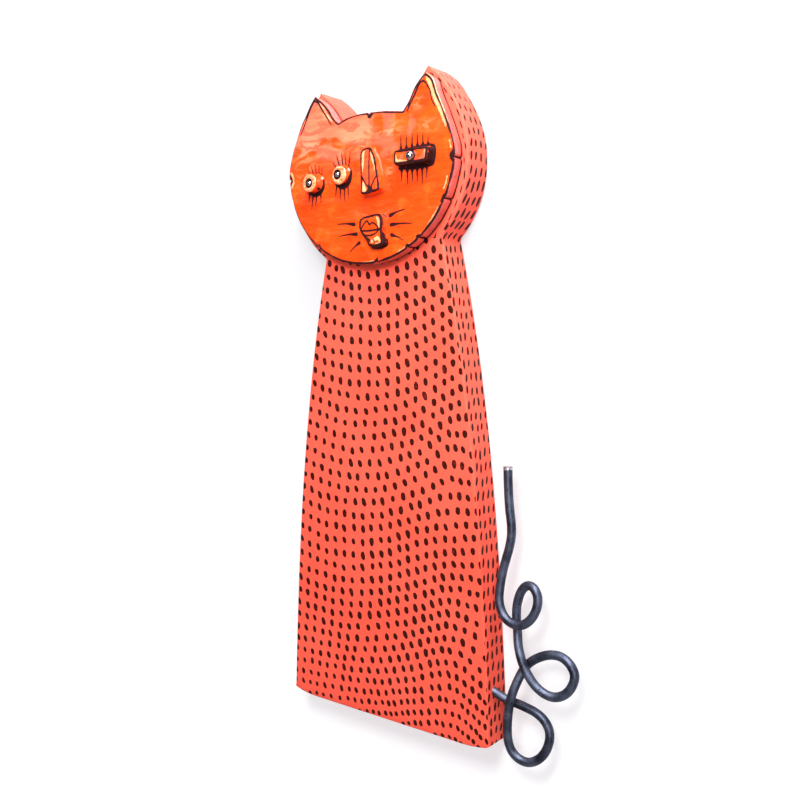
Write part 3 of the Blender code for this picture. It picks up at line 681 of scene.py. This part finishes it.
# A painted highlight in cream along the very edge of the rim, up the outer side of the right ear, where the rounded
# edge catches the light.
lit_rim = np.where((around > 14) & (around < 47) & (depth_mm < 1.6), depth_mm - 1.2, 6)
slab_cream_and_highlight = np.where(wall, lit_rim, slab_cream_and_highlight)
# Patches where the orange is paler, partly paler glaze and partly a painted reflection of the window light, each by its
# middle, its half width and its half height.
patches = ((-56, 22, 15, 17), (-38, 40, 9, 8), (-18, 22, 16, 9), (6, 26, 18, 6), (-62, 2, 8, 12), (24, 20, 10, 5),
           (-5, 14, 8, 5), (48, 36, 5, 5), (-28, 8, 9, 5), (22, -8, 3, 10), (8, -36, 12, 3), (57, 19, 9, 4))
slab_pale_and_reflection = np.zeros(len(local))
for x, z, wide, tall in patches:
    slab_pale_and_reflection += np.exp(-(((local[:, 0] * 1000 - x) / wide) ** 2 + ((local[:, 1] * 1000 - z) / tall) ** 2))
slab_pale_and_reflection = np.where(wall, 0, np.clip(slab_pale_and_reflection, 0, 1))


def part(points, faces, ink_and_shade, cream_and_highlight, pale_and_reflection=0.25, wall=0.0, gloss=1.0):
    """One form of the face, with a value for each of its points of what lies on the clay there."""
    full = {"ink_and_shade": ink_and_shade, "cream_and_highlight": cream_and_highlight, "pale_and_reflection": pale_and_reflection, "wall": wall, "gloss": gloss}
    return points, faces, {title: np.broadcast_to(value, len(points)) for title, value in full.items()}


face_parts = [part(slab_points, slab_faces, slab_ink_and_shade, slab_cream_and_highlight, slab_pale_and_reflection, wall)]

# The nose, the mouth and the oblong eye are cut from the same clay and stand on the slab; their top edges
# are rubbed round with a finger and drawn round in black.
nose = ((-0.031, 0.088), (0.0, 0.116), (0.05, 0.128), (0.101, 0.121), (0.153, 0.025), (0.186, -0.101),
        (0.208, -0.189), (0.224, -0.279), (0.093, -0.302), (0.003, -0.302))
mouth = ((-0.03, -0.528), (0.021, -0.503), (0.176, -0.486), (0.226, -0.491), (0.243, -0.543), (0.243, -0.659),
         (0.255, -0.77), (0.175, -0.79), (0.082, -0.78), (0.055, -0.718), (-0.004, -0.659), (-0.033, -0.611))
block_middle = np.array([0.587, -0.023]) * face_half
block_size, block_corner = (0.0306, 0.0108), 0.00286
nose_low, nose_high, mouth_high, block_high = 0.003, 0.0062, 0.005, 0.007
part_spacing, part_step = 0.0007, 0.0006        # between the points of a form's outline, and inside it
part_edge, block_edge, part_roll = 0.0006, 0.0007, 0.00022
bead_radius, bead_dent = 0.0034, 0.0011


def softened(corners, radius):
    """Outline with straight sides and small round corners, counter-clockwise."""
    corners = np.array(corners, float)
    ahead = np.roll(corners, -1, 0)
    area = np.sum(corners[:, 0] * ahead[:, 1] - corners[:, 1] * ahead[:, 0])
    corners = corners if area > 0 else corners[::-1]
    line = []
    for before, at, after in zip(np.roll(corners, 1, 0), corners, np.roll(corners, -1, 0)):
        a, b = before - at, after - at
        long_a, long_b = np.linalg.norm(a), np.linalg.norm(b)
        reach = min(radius, long_a * 0.45, long_b * 0.45)
        start, end = at + a / long_a * reach, at + b / long_b * reach
        t = np.linspace(0, 1, 6)[:, None]
        line.append((1 - t) ** 2 * start + 2 * t * (1 - t) * at + t ** 2 * end)
    return evenly(closed(np.vstack(line)), part_spacing)[:-1]


def raised(ring, height, edge, lines, creams, seed, rim, dark=None, hollow=None, gloss=1.0):
    """A form on the slab, with a rubbed edge, slightly leaning walls and a foot of slip where it is luted on.

    A black line runs round its top, 2 * rim millimetres wide. dark(way, level) says where its wall is black,
    and hollow is the middle and the reach of a dent for a bead.
    """
    tall = height(ring).max()
    rows = rubbed(edge, tall, 0, 22, 45, 68, 90) + [
        (-0.0001, 0.62), (-0.0001, 0.42), (-0.0002, 0.25), (-0.0006, 0.08), (-0.0013, -0.02), (-0.0013, -0.25)]

    def depth(points, level):
        top = height(points) + part_roll * ripple(points, 0.006, seed) * (level > 0.3)
        if hollow is not None and level == 1:
            away = span(points - hollow[0])
            top = top - bead_dent * np.exp(-(away / hollow[1]) ** 4)
        return slab_front - top * level

    line_spots = np.vstack([middles(lines + creams), inset(ring, 2 * rim * 0.001 + 0.00005)])
    points, faces, level, along = form(ring, rows, part_step, depth, line_spots)
    flat = points[:, [0, 2]]
    inner = gap_to(flat, closed(ring)) * 1000
    ink_and_shade = np.minimum(drawn(flat, bled(lines)), np.abs(inner - rim) - rim - 0.3 * ripple(flat, 0.004, seed + 2))
    on_wall = (along >= 0) & (level < 0.93)
    wall_ink = np.where(level > 0.86, -0.1 - 0.5 * ripple(flat, 0.003, seed + 4), 1.5)
    wall_ink = np.where(level < 0.06, np.minimum(wall_ink, 0.1), wall_ink)
    if dark is not None:
        rough = 0.9 * ripple(points[:, [0, 1]] + points[:, [2, 2]], 0.004, seed + 6)
        wall_ink = np.minimum(wall_ink, dark(flat - flat.mean(0), level) + rough)
    return part(points + [head_x, 0, 0], faces, np.where(on_wall, wall_ink, ink_and_shade),
                np.where(on_wall, 6, drawn(flat, creams)), np.where(on_wall, 0.25, 0.0), gloss=gloss)


nose_ring = softened(np.array(nose) * face_half, 0.0022)
nose_top, nose_tip = nose[2][1] * face_half, nose[-1][1] * face_half
nose_lines = [brush(((6.4, 9.0), (6.8, -2.0), (8.4, -23.0)), 0.35, 0.45, 0.5),
              brush(((0.6, -10.8), (3.6, -15.4), (7.3, -19.4), (9.1, -22.5)), 0.4, 0.45, 0.8),
              brush(((15.8, -10.4), (13.0, -13.6), (11.1, -17.0), (9.6, -21.0)), 0.35, 0.45, 0.7),
              brush(((6.0, -22.6), (8.8, -20.6), (11.6, -22.6)), 0.6, 1.2, 0.6)]
nose_creams = [brush(((1.0, 7.0), (0.6, 0.0), (0.9, -7.0)), 1.2, 1.0, 0.5),
               brush(((8.6, 8.4), (9.0, 4.0), (11.4, -2.0), (12.4, -7.0)), 1.1, 1.3, 1.0, 0.5),
               brush(((2.4, -16.0), (3.4, -20.6), (5.6, -22.0)), 1.4, 2.0, 0.9)]


def nose_height(points):
    share = np.clip((nose_top - points[:, 1]) / (nose_top - nose_tip), 0, 1)
    return nose_low + (nose_high - nose_low) * share


face_parts.append(raised(nose_ring, nose_height, part_edge, nose_lines, nose_creams, 40.0, rim=0.8, gloss=0.3))

mouth_ring = softened(np.array(mouth) * face_half, 0.002)
mouth_lines = [brush(((-0.4, -48.8), (2.5, -45.4), (5.4, -43.5), (7.7, -46.2), (10.1, -45.0), (13.9, -47.0),
                      (16.7, -50.8)), 0.4, 0.5, 0.4),
               brush(((-0.8, -50.3), (8.2, -50.7), (17.2, -50.1)), 0.45, 0.6, 0.45),
               brush(((0.6, -51.6), (3.4, -53.6), (9.1, -54.1), (13.4, -52.8), (16.2, -50.8)), 0.35, 0.5, 0.35),
               brush(((5.8, -55.8), (8.0, -57.6), (6.6, -59.6), (8.4, -61.4)), 0.35, 0.4),
               brush(((11.0, -57.0), (12.4, -59.4)), 0.3, 0.3)]
mouth_creams = [brush(((9.8, -58.6), (15.0, -56.4), (17.2, -58.6)), 1.0, 1.3, 0.8),
                brush(((14.8, -41.6), (16.2, -44.8), (16.4, -49.2)), 0.9, 1.1, 0.6),
                brush(((13.6, -60.6), (17.6, -60.2)), 0.7, 0.7)]
face_parts.append(raised(
    mouth_ring, lambda p: np.full(len(p), mouth_high), part_edge, mouth_lines, mouth_creams, 50.0, rim=0.95, gloss=0.6,
    dark=lambda way, level: np.where(way[:, 1] < -0.01, -0.6, np.where(way[:, 0] > 0.007, 0.15, 1.5))))

block_corners = np.array(((-1, -0.92), (0.92, -1), (1, 0.9), (-0.96, 1))) * block_size / 2
block_ring = softened(block_middle + block_corners, block_corner)
block_creams = [brush(((33.9, -0.6), (34.2, -3.0), (36.2, -4.4), (41.0, -4.8), (48.0, -4.9)), 0.5, 0.9, 1.0, 0.7, 0.3),
                brush(((59.3, 0.8), (59.7, -1.8), (58.8, -4.6)), 0.5, 0.6, 0.4)]
turn = np.linspace(0, 2 * math.pi, 24)
block_lines = [(block_middle + bead_radius * 1.02 * np.stack([np.cos(turn), np.sin(turn)], 1), np.full(24, 0.0004))]
face_parts.append(raised(
    block_ring, lambda p: np.full(len(p), block_high), block_edge, block_lines, block_creams, 60.0, rim=0.95,
    dark=lambda way, level: np.where(way[:, 1] < -0.004, -0.6,
                                     np.where(way[:, 0] > 0.013, np.where(level < 0.8, -0.45, 0.5),
                                              np.where(way[:, 1] > 0.0045, 0.1, 1.5))),
    hollow=(block_middle, 0.0042)))

# The two round eyes are thick collars turned by hand, each with a hole for its bead.
eye_radius = 0.007
eye_middles = (np.array([-0.616, -0.133]) * face_half, np.array([-0.277, -0.091]) * face_half)
eye_heights = (0.009, 0.005)
socket_shifts = ((-0.0005, -0.0003), (-0.002, 0.0007))
socket_radius, socket_depth = 0.0032, 0.0042


def turned_eye(middle, height, shift, seed):
    """An eye, from its foot up and down into its socket, which stands a little off the eye's middle."""
    # Each ring's radius, its height, and its share of the socket's shift
    rings = [(eye_radius + 0.0012, -0.0012, 0), (eye_radius + 0.0012, 0.0, 0), (eye_radius + 0.0005, 0.0007, 0),
             (eye_radius * 0.985, 0.0018, 0), (eye_radius * 0.98, height * 0.45, 0),
             (eye_radius * 0.985, height * 0.7, 0), (eye_radius, height - 0.0011, 0),
             (eye_radius - 0.0002, height - 0.0005, 0), (eye_radius - 0.0007, height - 0.0001, 0),
             (eye_radius - 0.0014, height, 0),
             (socket_radius + 0.0012, height - 0.0001, 0.6), (socket_radius + 0.0005, height - 0.0003, 0.9),
             (socket_radius, height - 0.0008, 1), (socket_radius * 0.97, height - 0.0018, 1),
             (socket_radius * 0.95, height - socket_depth, 1), (socket_radius * 0.5, height - socket_depth - 0.0002, 1)]
    around = 72
    angles = np.arange(around) * 2 * math.pi / around
    ways = np.stack([np.cos(angles), np.sin(angles)], 1)
    # The collar's wall and foot are painted darker towards the lower right and black at the bottom: painted shade, as
    # from light above.
    shade_below = np.cos(angles + math.radians(72))
    points, inks_and_shade, creams = [], [], []
    for radius, up, follows in rings:
        wobble, rough = ripple(ways * 1.4, 1, seed + up * 260), ripple(ways * 2.5, 1, seed + 9 + up * 400)
        x, z = (middle + np.array(shift) * follows + ways * (radius * (1 + 0.03 * wobble))[:, None]).T
        points.append(np.stack([x + head_x, slab_front - up - 0.0002 * wobble * (up > 0.002), z], 1))
        if follows > 0.95:
            ink_and_shade = np.full(around, -1.0)
        elif follows > 0.7:
            ink_and_shade = 0.2 + 0.3 * rough
        elif up < 0.0012:
            ink_and_shade = -0.1 - 0.9 * shade_below + 0.3 * rough
        elif up < height * 0.8:
            ink_and_shade = 1.1 + 0.7 * rough - (1.3 if height > 0.007 else 1.7) * shade_below * (1 - 0.5 * up / height)
        else:
            ink_and_shade = 1.5 + 0.6 * rough
        inks_and_shade.append(ink_and_shade)
        on_front = up > height - 0.0009 and follows < 0.95
        creams.append((-0.12 if on_front else 2.2 if up < height * 0.9 else 0.9) + 0.3 * rough)
    last = (len(rings) - 1) * around
    points.append([(middle[0] + shift[0] + head_x, slab_front - height + socket_depth + 0.0002, middle[1] + shift[1]),
                   (middle[0] + head_x, slab_front + 0.0012, middle[1])])
    steps = [(j, (j + 1) % around) for j in range(around)]
    faces = [(k + after, k + around + after, k + around + j, k + j)
             for k in range(0, last, around) for j, after in steps]
    faces += [(last + j, last + after, last + around) for j, after in steps]
    faces += [(after, j, last + around + 1) for j, after in steps]
    return part(np.vstack(points), faces, np.concatenate(inks_and_shade + [[-1, 1]]), np.concatenate(creams + [[6, 6]]))


for middle, height, shift, seed in zip(eye_middles, eye_heights, socket_shifts, (70.0, 83.0)):
    face_parts.append(turned_eye(middle, height, shift, seed))

start, all_faces = 0, []
for points, faces, values in face_parts:
    all_faces += [tuple(start + k for k in f) for f in faces]
    start += len(points)
ceramic = new_piece("glazed_face", np.vstack([points for points, faces, values in face_parts]), all_faces, 55)
for title in ("ink_and_shade", "cream_and_highlight", "pale_and_reflection", "wall", "gloss"):
    whole = np.concatenate([values[title] for points, faces, values in face_parts])
    store(ceramic.data, title, "FLOAT", "POINT", whole)

# Orange glaze, peach in patches that are partly paler glaze and partly a painted reflection of the window light, cream
# where it ran off an edge with a painted highlight up the right ear, and black underglaze that bleeds a little into it,
# with painted shade below the round eyes. The fired surface is glossy, with a few pinholes.
orange_glaze, w, shader = new_finish(
    "orange_glaze", 0.2, Coat_Weight=0.9, Coat_Roughness=0.06, Specular_IOR_Level=0.08)
tone = w.tone(26.0)
glaze = w.blend(tone, (0.9, 0.048, 0.003, 1), (0.93, 0.07, 0.005, 1))
glaze = w.blend(w.times(w.rise(w.mottle(75, 5, 0.6), 0.52, 0.72), 0.55), glaze, (0.82, 0.03, 0.002, 1))
# Peach patches, partly paler glaze and partly a painted reflection of the window light.
pale_and_reflection = w.times(w.named("pale_and_reflection"), w.rise(w.mottle(48, 3, 0.5, (1, 1, 2.2), 2.0, 1.6), 0.45, 0.54))
glaze = w.blend(w.times(w.rise(w.mottle(55, 4, 0.6, seed=9.0), 0.52, 0.66), 0.6), glaze, (0.94, 0.115, 0.01, 1))
glaze = w.blend(w.times(pale_and_reflection, 0.7), glaze, (0.93, 0.2, 0.08, 1))
rim = w.blend(w.rise(w.mottle(90, 3), 0.35, 0.65), (0.6, 0.09, 0.074, 1), (0.7, 0.115, 0.09, 1))
glaze = w.blend(w.named("wall"), glaze, rim)
fray = w.times(w.less(w.mottle(500, 3), 0.5), 0.9)
# Cream where the glaze ran off an edge, with painted highlights along the right ear's rim.
cream_and_highlight = w.rise(w.plus(w.named("cream_and_highlight"), w.times(fray, 2.4)), 0.5, -0.5)
glaze = w.blend(w.times(cream_and_highlight, 0.9), glaze, (0.94, 0.42, 0.2, 1))
halo = w.rise(w.plus(w.named("ink_and_shade"), fray), 1.5, 0.0)
glaze = w.blend(w.times(halo, 0.3), glaze, (0.62, 0.05, 0.01, 1))
# Black underglaze, with painted shade under the round eyes.
ink_and_shade = w.rise(w.plus(w.named("ink_and_shade"), w.times(fray, 0.55)), 0.22, -0.12)
w.feed(shader, "Base Color", w.blend(w.times(ink_and_shade, 0.98), glaze, (0.01, 0.006, 0.008, 1)))
w.feed(shader, "Roughness", w.plus(0.2, w.plus(w.times(ink_and_shade, 0.22), w.times(tone, 0.06))))
w.feed(shader, "Coat Weight", w.times(w.named("gloss"), w.less(0.95, w.times(ink_and_shade, 0.93))))
holes = w.rise(w.mottle(420, 1, seed=4.0), 0.8, 0.72)
height = w.plus(w.mottle(60, 3, 0.5, (0.6, 1, 1.7), 7.0), w.times(holes, 0.1))
w.bump(shader, w.plus(height, w.times(ink_and_shade, -0.06)), 0.6, 0.0034)
ceramic.data.materials.append(orange_glaze)
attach(ceramic, "root")
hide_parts("ceramic_face")


# THE PUPILS
# Three beads of black glass, dropped into their sockets before the last firing, so that each is a little
# flattened where it settled.

pupil_radius = 0.0024
bead_gap = 0.0003
black_glass, w, shader = new_finish("black_glass", 0.06, Coat_Weight=1.0, Specular_IOR_Level=1.0, IOR=2.4)
w.feed(shader, "Base Color", w.blend(w.tone(300.0), (0.01, 0.01, 0.012, 1), (0.03, 0.029, 0.034, 1)))


def bead(name, node, middle, front, radius, seed):
    """A bead whose middle stands this far in front of the slab."""
    rows, around = 20, 36
    points = [(0, -radius, 0)]
    for k in range(1, rows):
        tilt = math.pi * k / rows
        for j in range(around):
            a = 2 * math.pi * j / around
            way = Vector((math.sin(tilt) * math.cos(a), -math.cos(tilt), math.sin(tilt) * math.sin(a)))
            r = radius * (1 + 0.012 * noise.noise(way * 1.8 + Vector((seed, 0, 0))))
            r *= 1 - 0.03 * max(0.0, math.cos(tilt)) ** 3
            points.append(tuple(way * r))
    points.append((0, radius, 0))
    last = len(points) - 1
    faces = [(0, 1 + (j + 1) % around, 1 + j) for j in range(around)]
    for k in range(rows - 2):
        a, b = 1 + k * around, 1 + (k + 1) * around
        faces += [(a + j, a + (j + 1) % around, b + (j + 1) % around, b + j) for j in range(around)]
    faces += [(last, last - around + j, last - around + (j + 1) % around) for j in range(around)]
    points = np.array(points) + np.array([middle[0] + head_x, slab_front - front, middle[1]])
    made = new_piece(name, points, faces, 60)
    made.data.materials.append(black_glass)
    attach(made, "root")
    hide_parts(node)


for name, middle, height, shift, seed in zip(("left", "middle"), eye_middles, eye_heights, socket_shifts, (1.0, 2.0)):
    front = height - socket_depth + pupil_radius + bead_gap
    bead(name + "_bead", name + "_pupil", middle + np.array(shift), front, pupil_radius, seed)
bead("right_bead", "right_pupil", block_middle, block_high, bead_radius, 3.0)


# THE TAIL
# One length of 6.35 mm mild steel rod, bent cold over a jig into three loops and blackened with its mill
# scale on. Its lower end stands in a hole drilled in the board's edge; its upper end is sawn off square.

rod = 0.00635
tail_rise = 0.162
tail_plane = 0.612 * board_thick
hole_height, hole_tilt, hole_depth = 0.0408, math.radians(-20), 0.022
strand_gap, sawn_reach = 0.0009, 0.0042
route_step, hole_clear = 0.0012, 0.0003
tail_route = (
    (0.055, -0.026, -0.60), (0.105, -0.036, -1.00), (0.150, -0.040, -0.80), (0.198, -0.048, -0.60),
    (0.240, -0.068, -0.45), (0.268, -0.104, -0.30), (0.272, -0.148, -0.15), (0.256, -0.198, 0.00),
    (0.224, -0.240, 0.10), (0.180, -0.266, 0.20), (0.136, -0.264, 0.35), (0.102, -0.240, 0.55),
    (0.084, -0.198, 0.75), (0.080, -0.140, 0.90), (0.086, -0.066, 1.00), (0.098, 0.000, 0.95),
    (0.114, 0.056, 0.50), (0.128, 0.102, -0.40), (0.147, 0.140, -1.00), (0.182, 0.173, -0.98),
    (0.228, 0.201, -0.85), (0.274, 0.218, -0.65), (0.322, 0.220, -0.45), (0.364, 0.200, -0.20),
    (0.388, 0.162, 0.00), (0.380, 0.116, 0.15), (0.350, 0.074, 0.30), (0.306, 0.052, 0.50),
    (0.260, 0.056, 0.70), (0.216, 0.082, 0.90), (0.182, 0.122, 1.00), (0.154, 0.168, 0.95),
    (0.125, 0.226, 0.20), (0.106, 0.288, -0.80), (0.098, 0.340, -1.00), (0.101, 0.396, -0.95),
    (0.118, 0.450, -0.75), (0.144, 0.486, -0.50), (0.172, 0.498, -0.25), (0.200, 0.488, 0.05),
    (0.218, 0.456, 0.30), (0.216, 0.412, 0.55), (0.196, 0.368, 0.80), (0.162, 0.336, 1.00),
    (0.120, 0.326, 1.00), (0.078, 0.338, 0.90), (0.046, 0.370, 0.65), (0.030, 0.414, 0.40),
    (0.030, 0.460, 0.20), (0.036, 0.506, 0.10), (0.046, 0.556, 0.00), (0.060, 0.602, 0.00),
    (0.074, 0.648, 0.00), (0.084, 0.700, 0.00), (0.084, 0.750, 0.00), (0.074, 0.830, 0.00),
    (0.068, 0.920, 0.00), (0.066, 1.000, 0.00),
)
hole_mouth = np.array([half_width(hole_height), hole_height, tail_plane])
into = np.array([math.cos(hole_tilt), math.sin(hole_tilt), 0])
route = np.array(tail_route) * (tail_rise, tail_rise, (rod + strand_gap) / 2)
route = np.vstack([into * 0.001, route]) + hole_mouth
route = np.vstack([[hole_mouth - into * (hole_depth - hole_clear)], curve_through(route, 6)])
route = evenly(np.stack([route[:, 0], -route[:, 2], route[:, 1] - hang_height], 1), route_step)

line_mesh = bpy.data.meshes.new("tail_line")
line_mesh.from_pydata([tuple(p) for p in route], [(k, k + 1) for k in range(len(route) - 1)], [])
tail = placed("bent_tail", line_mesh)

blackened_steel, w, shader = new_finish("blackened_steel", 0.44, 1.0)
scale_tone = w.tone(90.0)
steel = w.blend(scale_tone, (0.044, 0.049, 0.076, 1), (0.15, 0.17, 0.245, 1))
steel = w.blend(w.times(w.rise(w.mottle(420, 4), 0.56, 0.7), 0.5), steel, (0.16, 0.155, 0.19, 1))
steel = w.blend(w.rise(w.mottle(700, 3, seed=5.0), 0.62, 0.72), steel, (0.02, 0.017, 0.019, 1))
cuts = w.rise(w.mottle(900, 2, 0.5, (1, 0.1, 1)), 0.35, 0.65)
bare = w.rise(w.plus(w.named("sawn_end"), w.times(w.less(w.mottle(500, 2), 0.5), 1.2)), 0.55, 0.75)
w.feed(shader, "Base Color", w.blend(bare, steel, w.blend(cuts, (0.4, 0.39, 0.41, 1), (0.8, 0.78, 0.82, 1))))
w.feed(shader, "Roughness", w.plus(0.4, w.times(scale_tone, 0.2)))
w.bump(shader, w.plus(w.times(w.mottle(160, 3), 0.8), w.times(w.mottle(1100, 3), 0.3)), 0.45, 0.0004)

tree = bpy.data.node_groups.new("rod_along_a_line", "GeometryNodeTree")
for title, kind, way in (("Line", "Geometry", "INPUT"), ("Radius", "Float", "INPUT"), ("Unevenness", "Float", "INPUT"),
                         ("Sides", "Int", "INPUT"), ("Rod", "Geometry", "OUTPUT")):
    tree.interface.new_socket(title, in_out=way, socket_type="NodeSocket" + kind)
w = Wiring(tree)
given, put_out = w.put("NodeGroupInput").outputs, w.put("NodeGroupOutput")
line = w.put("GeometryNodeMeshToCurve", {"Mesh": given["Line"]}).outputs[0]
spot = w.put("GeometryNodeInputPosition").outputs[0]
bumps = w.put("ShaderNodeTexNoise", {"Vector": spot, "Scale": 85.0, "Detail": 2.0}).outputs["Fac"]
thick = w.times(w.maths("MULTIPLY_ADD", w.less(bumps, 0.5), given["Unevenness"], 1.0), given["Radius"])
line = w.put("GeometryNodeSetCurveRadius", {"Curve": line, "Radius": thick}).outputs[0]
ring = w.put("GeometryNodeCurvePrimitiveCircle", {"Resolution": given["Sides"], "Radius": 1.0}).outputs[0]
skin = w.put("GeometryNodeCurveToMesh", {"Curve": line, "Profile Curve": ring, "Fill Caps": True})
if "Scale" in skin.inputs:
    w.feed(skin, "Scale", w.put("GeometryNodeInputRadius").outputs[0])
smooth = w.put("GeometryNodeSetShadeSmooth", {"Geometry": skin.outputs[0]}).outputs[0]
whole = w.put("GeometryNodeRealizeInstances", {0: smooth}).outputs[0]
w.feed(put_out, 0, w.put("GeometryNodeSetMaterial", {"Geometry": whole, "Material": blackened_steel}).outputs[0])
bend = tail.modifiers.new("rod", "NODES")
bend.node_group = tree
for socket in tree.interface.items_tree:
    if socket.in_out == "INPUT" and socket.name != "Line":
        bend[socket.identifier] = {"Radius": rod / 2, "Unevenness": 0.045, "Sides": 22}[socket.name]
bpy.context.view_layer.update()
solid = bpy.data.meshes.new_from_object(tail.evaluated_get(bpy.context.evaluated_depsgraph_get()))
tail.modifiers.clear()
tail.data = solid
solid.name = "bent_tail"
solid.set_sharp_from_angle(angle=math.radians(50))
from_tip = [(p.center - Vector(route[-1])).length for p in solid.polygons]
bare = [1.0 if len(p.vertices) > 4 and gap < rod else 0.75 if gap < sawn_reach else 0.0
        for p, gap in zip(solid.polygons, from_tip)]
store(solid, "sawn_end", "FLOAT", "FACE", bare)
if not solid.materials:
    solid.materials.append(blackened_steel)
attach(tail, "root")
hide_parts("steel_tail")


# THE STAGE
# A pale floor, a pale backdrop that is seen only from the front, soft light from the front, the right and above,
# and the camera below the middle of the board, to its right, turned up to take in the whole cat.

def plain_plane(name, corners, finish):
    made = bpy.data.meshes.new(name)
    made.from_pydata(corners, [], [(0, 1, 2, 3)])
    made.materials.append(finish)
    placed(name, made)


wide, low, high, behind = 3, -1.3, 2.6, 0.0008
pale_floor, w, shader = new_finish("pale_floor", 0.9, Base_Color=(0.86, 0.86, 0.87, 1))
plain_plane("floor", [(-wide, -wide, low), (wide, -wide, low), (wide, wide, low), (-wide, wide, low)], pale_floor)

# The backdrop glows a little, and is brighter away from the head, so that it meets the edge of the view as white.
pale_backdrop, w, shader = new_finish("pale_backdrop", 0.95, Emission_Color=(0.98, 0.96, 1, 1))
path = w.put("ShaderNodeLightPath").outputs
w.feed(shader, "Emission Strength", w.times(path["Is Camera Ray"], 0.54))
away = w.put("ShaderNodeVectorMath", {0: w.place(), 1: (0.24, 0, 0.2)}, operation="DISTANCE").outputs["Value"]
graded = w.times(0.17, w.maths("POWER", w.plus(1.0, w.times(2.8, w.times(away, away))), 1.44))
graded = w.maths("MINIMUM", graded, 0.95)
shade = w.put("ShaderNodeCombineColor", {0: graded, 1: graded, 2: graded}).outputs[0]
w.feed(shader, "Base Color", w.blend(path["Is Camera Ray"], (0.5, 0.49, 0.51, 1), shade))
from_behind = w.put("ShaderNodeNewGeometry").outputs["Backfacing"]
unseen = w.maths("MAXIMUM", from_behind, w.maths("LESS_THAN", path["Ray Length"], 0.003))
clear = w.put("ShaderNodeBsdfTransparent").outputs[0]
either = w.put("ShaderNodeMixShader", {0: unseen, 1: shader.outputs[0], 2: clear})
w.feed(w.tree.nodes["Material Output"], "Surface", either.outputs[0])
plain_plane("backdrop", [(-wide, behind, low), (wide, behind, low), (wide, behind, high), (-wide, behind, high)],
            pale_backdrop)

world = bpy.data.worlds.new("studio")
world.use_nodes = True
sky = world.node_tree.nodes["Background"].inputs
sky["Color"].default_value, sky["Strength"].default_value = (1, 1, 1, 1), 0.08
bpy.context.scene.world = world


def soft_light(name, place, target, size, power):
    data = bpy.data.lights.new(name, "AREA")
    data.shape, data.size, data.energy = "SQUARE", size, power
    lamp = placed(name, data)
    lamp.location = place
    lamp.rotation_euler = (Vector(target) - Vector(place)).to_track_quat("-Z", "Y").to_euler()


soft_light("key", (0.24, -0.6, 0.26), (0, 0, -0.1), 0.32, 7.5)
soft_light("side", (0.35, -0.26, 0.64), (0, 0, -0.1), 0.4, 13)
soft_light("window", (-1.03, -0.94, 0.56), (0, 0, 0.02), 0.54, 2.3)
soft_light("front", (0.76, -0.95, -0.22), (0, 0, -0.05), 0.5, 5.0)
soft_light("behind", (0.2, 1.7, 1.0), (0, 0, -0.15), 1.0, 22)

focal, frame_px, sensor = 915.172, 794, 36
yaw, pitch, roll = 0.6685, -0.0633, 0.004
stand = (0.4335, -0.5564, -0.1295)
forward = Vector((-math.sin(yaw) * math.cos(pitch), math.cos(yaw) * math.cos(pitch), math.sin(pitch)))
right = Vector((math.cos(yaw), math.sin(yaw), 0))
down = forward.cross(right)
right, down = math.cos(roll) * right + math.sin(roll) * down, -math.sin(roll) * right + math.cos(roll) * down
lens = bpy.data.cameras.new("camera")
lens.sensor_width = sensor
lens.lens = focal / frame_px * sensor
camera = placed("camera", lens)
camera.matrix_world = Matrix([*zip(right, -down, -forward, stand), (0, 0, 0, 1)])
bpy.context.scene.camera = camera
bpy.context.scene.view_settings.view_transform = "Standard"
